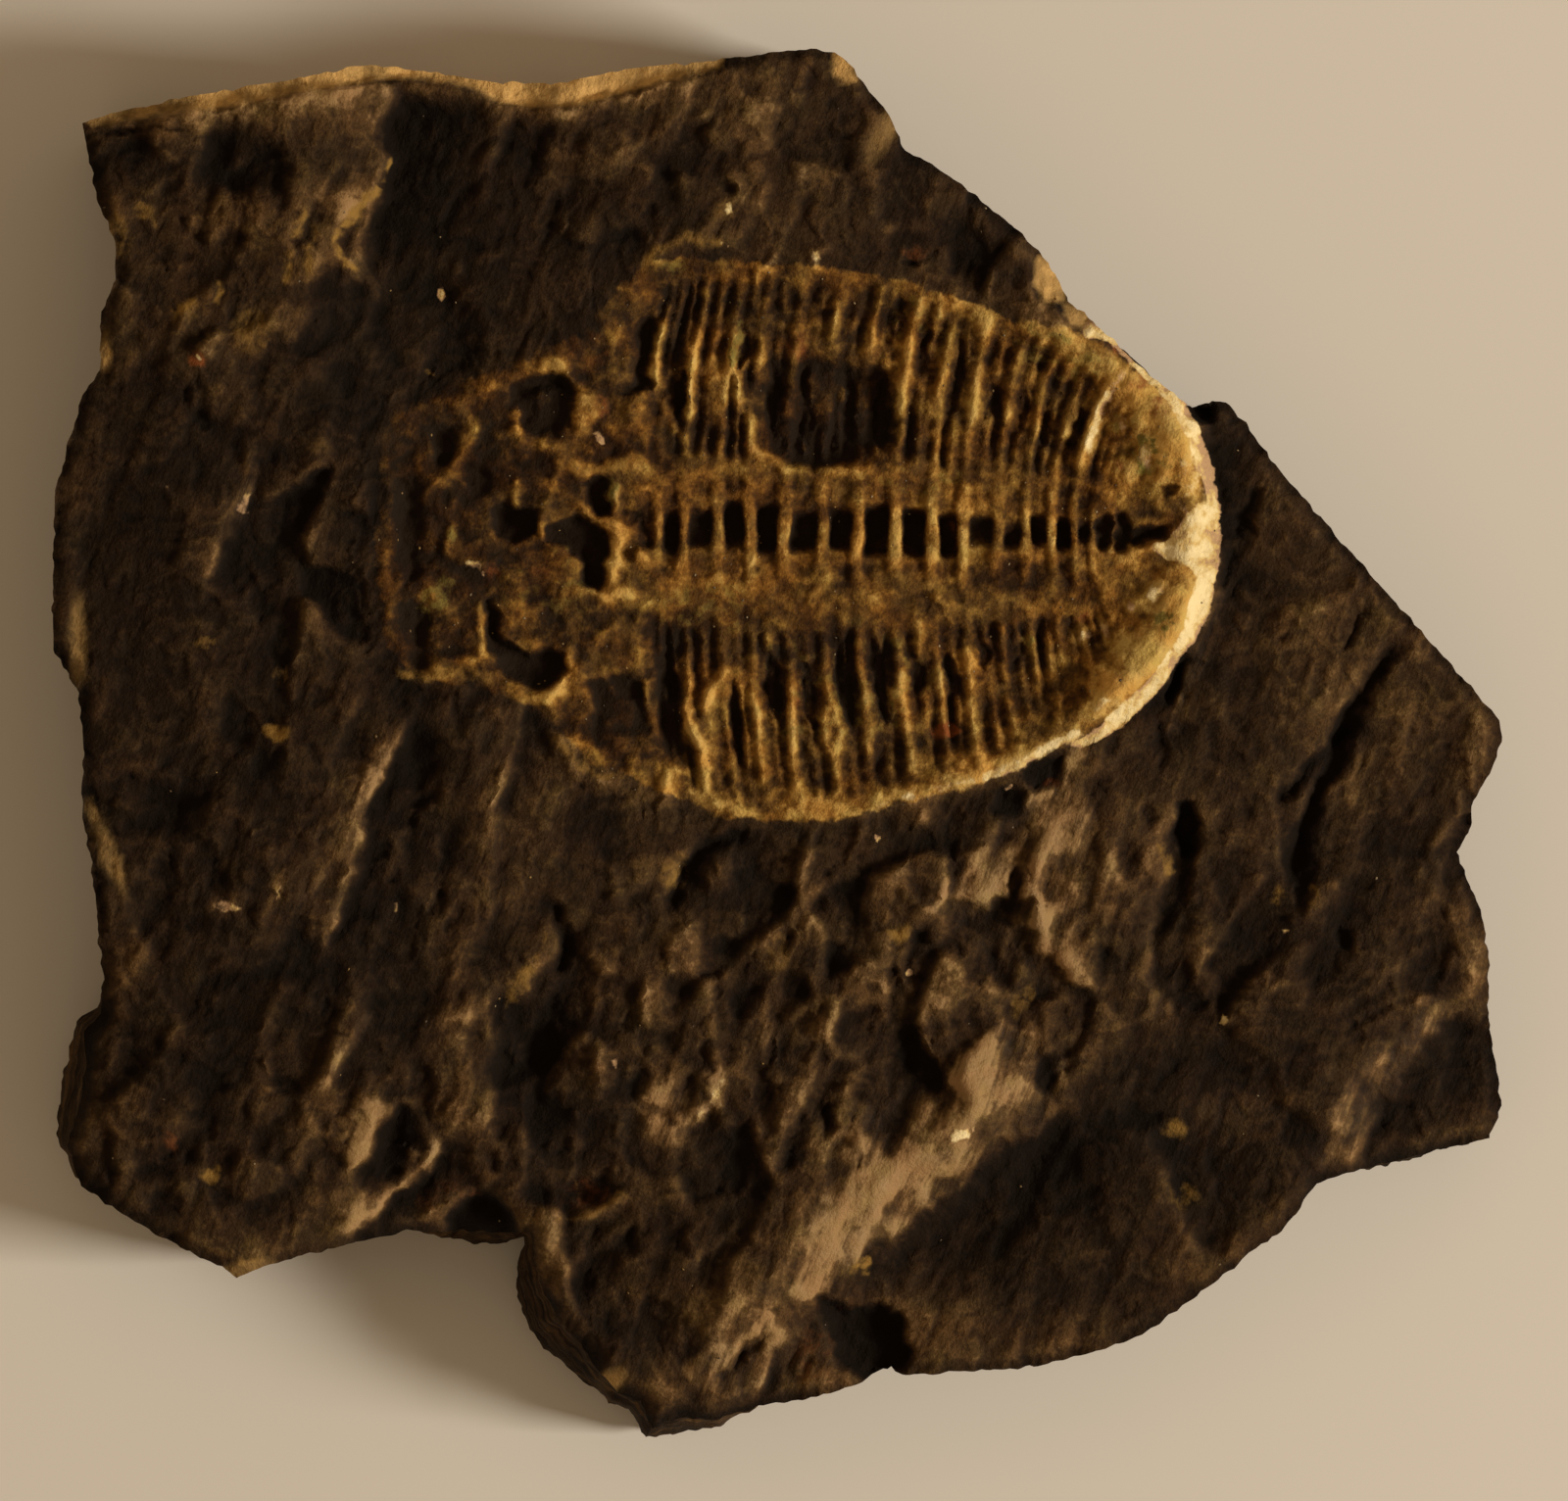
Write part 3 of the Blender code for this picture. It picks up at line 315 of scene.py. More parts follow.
# Raised ribs of the side fields that stand out: width, height, points
RIBS = (
    (6, 0.4, ((690, 302), (680, 323), (672, 340), (670, 365), (670, 390))),
    (5, 0.3, ((656, 405), (653, 432), (660, 462))), (5, 0.3, ((676, 415), (688, 433), (700, 455))),
    (7, 0.45, ((722, 305), (710, 332), (705, 357), (704, 382), (706, 410), (706, 442))),
    (6, 0.4, ((757, 320), (748, 350), (752, 382), (750, 400), (762, 425), (768, 455), (778, 464))),
    (6, 0.25, ((735, 320), (728, 350), (726, 380), (732, 440))),
    (6, 0.45, ((776, 290), (773, 312), (773, 340), (780, 356), (780, 385), (777, 420))),
    (4, 0.25, ((793, 305), (788, 327), (786, 350))), (4, 0.25, ((817, 305), (812, 325), (809, 345))),
    (9, 0.4, ((816, 325), (813, 350), (807, 375), (803, 395))), (4, 0.15, ((800, 395), (803, 470))),
    (4, 0.45, ((832, 305), (827, 328), (820, 355))), (4, 0.15, ((813, 395), (812, 440))),
    (4, 0.15, ((837, 385), (836, 430), (837, 470))), (4, 0.12, ((873, 405), (874, 455))),
    (5, 0.5, ((854, 300), (852, 322), (849, 350))), (4, 0.3, ((869, 322), (863, 343), (857, 362))),
    (5, 0.4, ((903, 285), (896, 310), (891, 335), (889, 352))), (8, 0.4, ((892, 340), (888, 375))),
    (6, 0.35, ((946, 284), (938, 310), (930, 335))),
    (7, 0.55, ((932, 325), (928, 350), (927, 380), (923, 402), (913, 432))),
    (6, 0.4, ((963, 290), (960, 318), (955, 345), (958, 372), (962, 398))),
    (5, 0.3, ((973, 350), (967, 375), (950, 415), (946, 440))),
    (8, 0.6, ((1012, 310), (1003, 330), (1006, 345), (999, 365), (995, 390), (995, 420), (992, 440))),
    (6, 0.3, ((985, 435), (981, 455), (984, 475))), (4, 0.3, ((1026, 345), (1022, 365), (1019, 385))),
    (6, 0.5, ((1046, 345), (1040, 362), (1035, 383), (1030, 405), (1027, 432))),
    (5, 0.45, ((1066, 338), (1058, 358), (1056, 380), (1050, 402), (1047, 412))),
    (6, 0.5, ((1080, 360), (1071, 382), (1065, 400), (1061, 430), (1056, 450))),
    (5, 0.35, ((1095, 368), (1088, 387), (1083, 402))),
    (5, 0.5, ((1106, 385), (1100, 405), (1094, 425), (1085, 450))),
    (9, 0.5, ((1146, 366), (1126, 392), (1119, 410), (1114, 435), (1109, 458), (1102, 484))),
    (6, 0.3, ((1162, 374), (1148, 395), (1138, 418), (1130, 450))),
    (4, 0.25, ((656, 690), (662, 720), (670, 752), (676, 778))),
    (5, 0.4, ((703, 680), (703, 706), (698, 724), (706, 745), (714, 765))),
    (8, 0.6, ((754, 676), (738, 688), (724, 706), (722, 730), (721, 757), (723, 790), (725, 818))),
    (6, 0.4, ((720, 816), (745, 825), (775, 829))),
    (6, 0.45, ((694, 774), (682, 786), (678, 806), (673, 830))),
    (6, 0.35, ((768, 690), (768, 712), (771, 735), (771, 765), (778, 785), (782, 806))),
    (5, 0.3, ((786, 645), (782, 660), (775, 676))), (4, 0.25, ((795, 650), (796, 685))),
    (6, 0.5, ((807, 690), (810, 715), (808, 740), (807, 770), (810, 800), (810, 828))),
    (5, 0.45, ((845, 690), (847, 713), (853, 725), (858, 750), (855, 775))),
    (5, 0.45, ((846, 718), (840, 735), (842, 758), (850, 780), (857, 805))),
    (5, 0.35, ((870, 655), (873, 678), (882, 695))),
    (9, 0.45, ((882, 690), (885, 720), (888, 750), (887, 785))),
    (6, 0.55, ((922, 678), (919, 705), (924, 720), (924, 740), (929, 765), (930, 795))),
    (4, 0.35, ((914, 700), (914, 730))), (5, 0.45, ((947, 695), (949, 715), (949, 738))),
    (5, 0.4, ((958, 680), (963, 710), (964, 740), (972, 765), (985, 790))),
    (9, 0.6, ((990, 655), (988, 690), (988, 725), (994, 752), (1002, 778), (1004, 800))),
    (4, 0.35, ((1025, 662), (1025, 685), (1027, 705))), (5, 0.4, ((1013, 725), (1019, 745), (1022, 768))),
    (5, 0.45, ((1027, 705), (1033, 732), (1040, 755))), (4, 0.3, ((1043, 688), (1050, 712), (1053, 738))),
    (4, 0.3, ((1057, 662), (1058, 682), (1066, 705))),
    (5, 0.4, ((1068, 640), (1074, 662), (1078, 690), (1081, 718), (1083, 745))),
    (4, 0.25, ((1096, 690), (1102, 715), (1104, 738))), (6, 0.3, ((938, 630), (941, 670))),
    (4, 0.2, ((910, 640), (912, 680))),
)

# Pits: x, y, half length, half width, anticlockwise turn of the long way in degrees, depth
PIT_RIM = 1.22
PIT_WALL = 0.55
PITS = (
    (250, 168, 52, 34, 170, 0.6), (430, 340, 55, 70, 20, 0.7), (1226, 420, 14, 13, 0, 1.5),
    (1190, 497, 12, 8, 160, 0.4), (1372, 958, 10, 8, 0, 0.6), (135, 820, 60, 34, 170, 0.7),
    (650, 745, 44, 40, 20, 0.3), (1038, 900, 18, 7, 90, 0.8),
)

# Places sunk inside a drawn outline: width of the wall, depth, corners
HOLES = (
    (6, 1.3, ((502, 520), (515, 514), (545, 519), (549, 545), (530, 551), (506, 547))),
    (6, 1.3, ((560, 536), (575, 528), (596, 530), (612, 540), (621, 560), (618, 585), (606, 600),
        (592, 594), (596, 578), (588, 562), (572, 558), (561, 550))),
    (6, 1.1, ((594, 494), (606, 488), (618, 500), (620, 522), (608, 526), (598, 512))),
    (8, 0.9, ((524, 398), (536, 384), (556, 376), (574, 382), (584, 398), (580, 424), (566, 438),
        (548, 440), (532, 430), (520, 412))),
    (6, 0.6, ((536, 386), (556, 377), (573, 383), (576, 396), (560, 396), (542, 400), (530, 414),
        (523, 404))),
    (7, 1.3, ((496, 612), (504, 622), (508, 645), (520, 662), (540, 668), (556, 662), (572, 668),
        (578, 684), (566, 698), (546, 702), (524, 694), (508, 676), (496, 650))),
    (14, 1.25, ((770, 385), (790, 368), (830, 362), (880, 366), (908, 378), (914, 410), (908, 445),
        (880, 468), (840, 478), (800, 468), (776, 445), (766, 412))),
    (4, 0.9, ((1119, 530), (1126, 526), (1134, 528), (1135, 556), (1128, 561), (1119, 552))),
    (4, 0.9, ((1139, 527), (1150, 526), (1154, 543), (1149, 561), (1140, 562))),
    (5, 0.5, ((1150, 538), (1192, 534), (1195, 548), (1160, 554), (1150, 552))),
    (14, 0.8, ((940, 1036), (962, 1048), (968, 1080), (960, 1110), (940, 1124), (925, 1160), (905, 1180),
        (898, 1165), (915, 1130), (925, 1095), (924, 1060))),
    (9, 1.9, ((838, 1326), (866, 1340), (900, 1338), (922, 1352), (928, 1382), (912, 1400), (884, 1410),
        (862, 1396), (848, 1368))),
    (10, 0.5, ((388, 1142), (402, 1138), (410, 1150), (413, 1180), (404, 1200), (391, 1203), (384, 1188),
        (386, 1162))),
    (6, 1.4, ((1204, 824), (1218, 822), (1226, 840), (1224, 866), (1212, 872), (1203, 852))),
    (6, 0.6, ((1060, 1078), (1078, 1076), (1082, 1098), (1074, 1118), (1062, 1112))),
    (6, 0.7, ((578, 1214), (592, 1204), (618, 1204), (632, 1214), (622, 1228), (596, 1232))),
    (9, 1.9, ((455, 1245), (470, 1228), (486, 1218), (500, 1226), (522, 1240), (524, 1262), (500, 1280),
        (462, 1272))),
    (7, 1.1, ((1042, 786), (1060, 776), (1084, 772), (1088, 786), (1076, 804), (1056, 808))),
    (6, 0.7, ((1014, 812), (1030, 804), (1046, 810), (1044, 830), (1028, 836), (1016, 830))),
    (7, 0.8, ((652, 325), (664, 322), (668, 350), (664, 392), (652, 400), (646, 370))),
    (9, 0.75, ((408, 488), (421, 484), (427, 515), (429, 556), (424, 590), (413, 594), (406, 562),
        (404, 520))),
    (9, 0.55, ((411, 620), (423, 614), (431, 636), (438, 664), (436, 682), (424, 686), (414, 668))),
    (12, 0.3, ((402, 430), (420, 424), (432, 452), (424, 478), (408, 482))),
    (9, 0.3, ((448, 440), (462, 436), (464, 462), (456, 474), (446, 466))),
    (9, 0.35, ((604, 700), (618, 698), (622, 730), (612, 764), (602, 750))),
    (10, 0.4, ((672, 694), (690, 690), (694, 730), (700, 770), (684, 776), (674, 740))),
    (9, 0.3, ((632, 512), (664, 508), (668, 556), (640, 562), (630, 540))),
    (10, 0.22, ((466, 470), (500, 462), (506, 500), (494, 530), (470, 524))),
    (10, 0.22, ((418, 398), (464, 400), (468, 440), (450, 466), (424, 450))),
    (12, 0.3, ((470, 350), (530, 352), (522, 392), (512, 430), (480, 428), (462, 400))),
    (12, 0.3, ((604, 700), (650, 696), (662, 730), (650, 760), (618, 750))),
    (10, 0.3, ((660, 630), (694, 626), (698, 660), (690, 700), (664, 690))),
    (7, 0.25, ((836, 1128), (850, 1132), (850, 1168), (838, 1176))),
    (8, 0.5, ((786, 1362), (760, 1398), (735, 1432), (728, 1418), (760, 1372))),
)

# Deep places between the ribs, and other small hollows, in the same columns as the pits
POOLS = (
    (694, 400, 26, 6, 84, 0.6), (758, 358, 20, 6, 86, 0.6), (788, 412, 44, 6, 88, 0.6),
    (822, 420, 44, 5, 88, 0.4), (865, 418, 46, 7, 88, 0.6), (900, 420, 42, 6, 86, 0.6),
    (912, 330, 34, 6, 80, 0.45), (944, 358, 24, 5, 82, 0.4), (978, 380, 36, 6, 82, 0.55),
    (1012, 410, 20, 5, 80, 0.4), (1045, 420, 22, 5, 78, 0.45), (1070, 436, 18, 6, 72, 0.55),
    (1098, 440, 26, 5, 72, 0.55), (750, 735, 40, 8, 95, 0.6), (790, 700, 34, 8, 95, 0.7),
    (826, 715, 40, 6, 96, 0.5), (862, 700, 44, 8, 98, 0.75), (898, 695, 40, 8, 97, 0.75),
    (938, 690, 18, 7, 95, 0.6), (972, 688, 22, 6, 95, 0.5), (1006, 668, 16, 6, 95, 0.5),
    (1038, 664, 12, 6, 90, 0.4), (1065, 645, 18, 5, 100, 0.35), (1090, 635, 18, 6, 95, 0.35),
    (682, 690, 26, 9, 100, 0.5), (640, 700, 22, 12, 160, 0.5), (590, 745, 24, 12, 160, 0.35),
    (640, 395, 12, 8, 0, 0.3), (745, 190, 7, 9, 90, 0.35), (928, 268, 12, 4, 0, 0.3),
    (450, 455, 10, 18, 10, 0.35), (485, 490, 14, 18, 20, 0.35), (440, 560, 12, 16, 0, 0.3),
    (640, 560, 9, 12, 0, 0.35), (655, 545, 6, 16, 0, 0.3), (640, 525, 16, 8, 0, 0.35),
    (430, 640, 8, 20, 10, 0.3), (468, 1015, 5, 6, 0, 0.2), (1200, 700, 7, 20, 160, 0.5),
    (1276, 540, 10, 5, 120, 0.4), (445, 920, 14, 10, 60, 0.35), (941, 958, 10, 8, 0, 0.4),
    (912, 1005, 18, 8, 90, 0.45), (847, 1150, 20, 7, 95, 0.4), (1330, 915, 18, 8, 95, 0.4),
    (165, 1185, 34, 20, 0, 0.4), (392, 135, 10, 22, 170, 0.5), (262, 110, 14, 7, 20, 0.3),
    (200, 410, 26, 12, 100, 0.3), (210, 620, 26, 10, 120, 0.35), (240, 740, 30, 14, 110, 0.35),
    (430, 760, 30, 18, 110, 0.35), (430, 1110, 30, 14, 100, 0.4), (545, 1060, 40, 22, 110, 0.6),
    (560, 1150, 44, 26, 100, 0.5), (690, 1000, 30, 16, 120, 0.3), (780, 1120, 34, 12, 100, 0.3),
    (1150, 870, 18, 10, 110, 0.35), (1172, 830, 12, 7, 110, 0.3), (1185, 760, 26, 6, 95, 0.35),
    (1215, 1020, 20, 10, 160, 0.3), (1185, 1028, 12, 7, 110, 0.3),
)

# Outline of the fossil, clockwise from the front of its head
FOSSIL_OUTLINE = (
    (380, 560), (386, 480), (402, 425), (445, 398), (520, 372), (590, 340), (628, 296), (655, 266),
    (700, 252), (780, 256), (840, 256), (900, 268), (960, 284), (1010, 302), (1060, 318), (1100, 336),
    (1145, 362), (1185, 398), (1212, 432), (1232, 480), (1242, 540), (1238, 595), (1224, 640), (1196, 684),
    (1160, 716), (1118, 744), (1080, 764), (1000, 798), (940, 815), (885, 832), (840, 838), (780, 838),
    (730, 834), (690, 816), (640, 792), (595, 778), (570, 745), (540, 718), (480, 702), (425, 690),
    (396, 665),
)

# How wide the wall of the imprint is, and how deep its floor lies, by x
FOSSIL_EDGE = ((380, 70), (600, 60), (700, 54), (1080, 60), (1240, 80))
BODY_DEPTH = ((380, 0.15), (480, 0.45), (620, 0.75), (1060, 0.75), (1160, 0.52), (1240, 0.28))

# How far inside the outline the hollow of the tail starts, and the bare margin above it, by x
LIP_BAND = ((1060, 0), (1110, 7), (1150, 13), (1200, 18), (1240, 24))
UPPER_LIP = 0.42
BARE_MARGIN = ((640, 0), (740, 13), (1040, 13), (1090, 4), (1140, 0))

# The body's axis, drawn at this y and sinking by this slope
AXIS_Y = 538.0
AXIS_START = 650.0
AXIS_SLOPE = 0.012
AXIS_END = 1196.0
AXIS_TIP = 24.0

# Raised ridges between the rings of the axis: weak ones on the head, then neck to tail, then the tail
HEAD_RINGS = (602, 624, 647)
RING_RIDGES = (671, 696, 733, 764, 800, 839, 875, 914, 952, 984, 1019, 1048, 1074, 1097, 1117)
TAIL_RINGS = (1134, 1152, 1172, 1192)

# Where the relief of the rings starts behind the head, and over how many squares it grows
NECK = (632, 62)

# Half width of the axis, the outer ends of the ribs and their lean, each by x
AXIS_HALF = ((650, 40), (750, 36), (850, 32), (1000, 22), (1100, 18), (1150, 15), (1200, 6))
UPPER_MARGIN = (
    (600, 335), (650, 268), (780, 258), (900, 270), (1000, 300), (1060, 318), (1140, 362), (1180, 395),
    (1212, 435), (1240, 520),
)
LOWER_MARGIN = (
    (600, 785), (680, 814), (740, 834), (850, 838), (900, 828), (1000, 797), (1080, 764), (1130, 738),
    (1160, 715), (1200, 680), (1225, 640), (1240, 580),
)
RIB_LEAN = ((650, 34), (780, 27), (900, 26), (1000, 30), (1060, 36), (1117, 48), (1170, 60))
LEAN_POWER = 1.7
LOWER_LEAN = 0.75
UPPER_BAND = ((650, 22), (900, 28), (1100, 30), (1200, 20))
LOWER_BAND = ((650, 40), (720, 56), (900, 60), (1060, 62), (1130, 48), (1200, 30))
BAND_SHARE = 0.2

# Relief of the body: depths in millimetres, reaches in squares, and shares where walls start and end
RING_DEPTH = 0.95
RING_REACH = ((650, 27), (900, 26), (1000, 23), (1100, 18), (1200, 12))
RING_FOOT = 0.26
RING_CHANGE = 0.35
RING_SHIFT = 7.0
RING_EDGE = 0.4
RING_EDGE_CHANGE = 0.2
RING_SOFT = 0.34
DEEP_SOFT = 15.0
FOOT_REACH = 66.0
FOOT_SOFT = 34.0
SEGMENT_FADE = 0.8
AXIS_DEPTH = 0.5
RIB_DEPTH = 0.44
RIB_SHARE = 0.7
RIB_CHANGE = 0.8
RIB_PATCH = 70.0
RIB_EDGE = 0.16
RIB_SOFT = 0.5
SECOND_RIB = 0.72
SECOND_EDGE = 0.1
SECOND_SOFT = 0.42
RIB_END = 0.12
BAND_SOFT = 24.0
BAND_FOOT = 12.0
TAIL_CALM = 0.6
FIELD_DEPTH = 0.62
TAIL_RIB_DEPTH = 0.12
WOBBLE = 3.5
WOBBLE_SIZE = 46.0
LIP_HEIGHT = 0.38
LIP_WIDTH = 11.0
LIP_BACK = 28.0
LIP_CREST = 4.0
LIP_FADE = 1.6
LIP_PARTS = (
    (1095, 350, 60), (1190, 430, 80), (1190, 670, 100), (1090, 755, 90), (980, 800, 80), (880, 830, 70),
)

# Where the lower ribs fade early: share of the field and its reach, x and its reach, how much
LOWER_CALM = (0.45, 0.3, 1020.0, 70.0, 0.8)

# Streaks of the cleavage, in squares and millimetres, and the way they run on the grid
STREAK_ALONG = 150.0
STREAK_ACROSS = 24.0
STREAK_HEIGHT = 0.16
LUMP_SIZE = 62.0
LUMP_HEIGHT = 0.3
STREAK_WAY = (-0.34, 0.94)
STREAK_TURN = math.degrees(math.atan2(-STREAK_WAY[1], STREAK_WAY[0]))
FOSSIL_CALM = 0.75
CALM_EDGE = 34.0

# Broken edge, in squares: how it crumbles, how far it and its foot stand out, and how its layers break
EDGE_CRUMBLE = 3.2
EDGE_LUMP = 11.0
EDGE_GROWTH = 5.0
FOOT_GROWTH = 0.25
LAYER_CRUMBLE = 3.6
LAYER_LUMP = 34.0
LAYER_CHIP = 13.0
LAYER_DEPTH = 0.7
CHIP_SHARE = 0.5
LUMP_PATTERNS = 40
CHIP_PATTERNS = 60

# Masks on the broken side: where it starts and fades in millimetres, and what stays of the face's
# colours there, the rind only near its own corner
SIDE_START = 0.25
SIDE_FADE = 0.8
SIDE_SHARE = 0.1
RIND_SHARE = 0.7
RIND_REACH = (800.0, 150.0)
RIND_FADE = 40.0

# The number that all random patterns start from, and a number of its own for each
SEED = 14
PATTERN = {
    "warp across": 3, "ribs": 5, "flakes": 5, "warp down": 9, "ring depth": 13, "terraces": 21,
    "ring place": 31, "fibres": 33, "pebbles": 47, "crust": 59, "rib patches": 61, "ring walls": 77,
    "crumple": 83, "web": 87, "flakes bent across": 91, "flakes bent down": 97,
}

# Fine relief of the broken stone and the crust: sizes in squares, heights in millimetres
WARP = (5.0, 30.0)
OUTLINE_WARP = 0.7
RIB_WARP = 0.25
TERRACE_ALONG = 130.0
TERRACE_ACROSS = 78.0
TERRACE_RISE = 0.12
TERRACES = ((3.0, 0.26), (8.0, 0.08))
BIG_FLAKES = ((0, 120.0, 76.0, 1.35), (1, 60.0, 40.0, 0.8))
FINE_FLAKES = ((2, 31.0, 22.0, 0.28), (3, 17.0, 13.0, 0.13))
FLAKE_WEAR = 1
FLAKE_BEND = 0.2
FLAKE_MARGIN = 0.1
FLAKE_SPREAD = 0.8
FLAKE_RISE = 0.9
FLAKE_TILT = (1.1, 1.5)
SMOOTH_SHARE = 0.22
FIBRE_ALONG = 46.0
FIBRE_ACROSS = 7.0
FIBRE_HEIGHT = 0.035
PEBBLE_SIZE = 11.0
PEBBLE_HEIGHT = 0.03
CRUST_SIZE = 9.0
CRUST_HEIGHT = 0.09
CRUMPLE_SIZE = 30.0
CRUMPLE_HEIGHT = 0.2
WEB_SIZE = 44.0
WEB_HEIGHT = 0.2
CRUST_COVER = 0.8
FLAKE_COVER = 0.9

# Half widths of the means that crests and swells are measured from, and the heights that count as full. They
# set the painted shade in hollows and the painted highlight on raised places
MEAN_REACHES = (3, 9, 26)
CREST_SHARES = (0.65, 0.35)
CREST_HEIGHT = 0.32
SWELL_HEIGHT = 0.8
COVER_FADE = 20.0

# Grains: how level a place has to be, their share on bare stone, and how many the side loses
GRAIN_FACING = (0.3, 0.4)
GRAIN_BASE = 0.08
GRAIN_LOSS = 0.6

# Width of the camera's sensor, in millimetres
SENSOR_WIDTH = 36.0

# Where the stone is knobbly: x, y, half length, half width, turn, amount
KNOBS = (
    (820, 1020, 330, 170, 20, 1.0), (620, 1180, 150, 170, 0, 0.7), (1050, 960, 140, 140, 0, 0.8),
    (300, 900, 170, 150, 0, 0.6), (250, 1130, 150, 120, 0, 0.6), (240, 260, 130, 150, 0, 0.6),
    (330, 560, 90, 150, 0, 0.6), (700, 160, 220, 80, 10, 0.5), (1000, 250, 90, 60, 140, 0.6),
    (520, 560, 150, 190, 0, 0.6), (640, 750, 90, 70, 0, 0.5), (1250, 960, 120, 120, 0, 0.45),
    (1450, 900, 90, 200, 0, 0.3),
)

# How strokes end and spots fade, and how strongly the raised ribs are coloured
STROKE_END = 0.1
STROKE_TIP = 0.3
SPOT_RIM = 1.45
SPOT_SOFT = 0.9
RIB_COLOUR = 1.4

# Colour areas. Facets: softness, amount, corners. Strokes: width, amount, points.
# Spots: x, y, half length, half width, turn, amount
# Pale areas: paler fresh facets and streaks of the stone, partly a painted highlight and sheen on the facets
# and ledge edges turned to the light
HIGHLIGHT_AND_PALE_FACETS = (
    (4, 0.95, ((841, 1211), (860, 1202), (885, 1187), (914, 1182), (953, 1172), (962, 1190), (950, 1215),
        (934, 1243), (904, 1265), (875, 1290), (851, 1312), (836, 1324), (816, 1329), (807, 1319),
        (821, 1285), (829, 1246))),
    (4, 0.8, ((973, 1074), (1002, 1069), (1027, 1040), (1061, 1055), (1056, 1079), (1056, 1104),
        (1030, 1125), (1000, 1150), (975, 1165), (953, 1172), (978, 1153), (973, 1123), (971, 1089))),
    (5, 0.58, ((1056, 1104), (1071, 1123), (1091, 1133), (1056, 1160), (1017, 1187), (983, 1211),
        (953, 1229), (940, 1225), (955, 1195), (975, 1165), (1000, 1150), (1030, 1125))),
    (3, 0.95, ((721, 1429), (704, 1412), (694, 1402), (718, 1378), (753, 1368), (782, 1339), (802, 1339),
        (787, 1358), (758, 1388))),
    (3, 0.9, ((1093, 1084), (1088, 1105), (1074, 1121), (1071, 1112), (1080, 1098), (1087, 1084))),
    (10, 0.5, ((392, 1120), (384, 1158), (364, 1188), (346, 1216), (350, 1186), (370, 1142))),
    (4, 0.9, ((742, 1092), (739, 1126), (716, 1152), (662, 1164), (698, 1148), (722, 1122), (728, 1098))),
    (5, 0.7, ((1496, 1022), (1450, 1078), (1424, 1106), (1400, 1132), (1384, 1160), (1362, 1188),
        (1338, 1184), (1352, 1150), (1376, 1108), (1418, 1066), (1470, 1026))),
    (7, 0.45, ((800, 1340), (826, 1370), (850, 1422), (800, 1432), (792, 1390))),
    (9, 0.3, ((415, 745), (388, 800), (366, 850), (360, 900), (330, 960), (305, 930), (318, 850),
        (350, 780))),
    (8, 0.1, ((305, 96), (392, 82), (398, 130), (392, 196), (372, 236), (340, 264), (310, 240),
        (300, 170))),
    (10, 0.3, ((1120, 770), (1110, 830), (1112, 880), (1075, 905), (1050, 880), (1070, 830), (1092, 790))),
    (7, 0.5, ((688, 868), (712, 866), (706, 896), (684, 904))),
    (9, 0.22, ((1000, 900), (1050, 890), (1080, 930), (1050, 1000), (1010, 990), (985, 940))),
    (9, 0.25, ((1090, 910), (1128, 900), (1120, 960), (1080, 1010), (1070, 960))),
    (8, 0.35, ((1010, 978), (1024, 1010), (1052, 1036), (1056, 1060), (1020, 1040), (1000, 1000))),
    (8, 0.3, ((880, 1135), (908, 1128), (896, 1170), (868, 1186))),
    (10, 0.18, ((540, 760), (585, 790), (575, 880), (530, 940), (490, 960), (500, 860), (510, 790))),
    (10, 0.2, ((610, 90), (840, 66), (850, 130), (740, 170), (640, 150))),
)
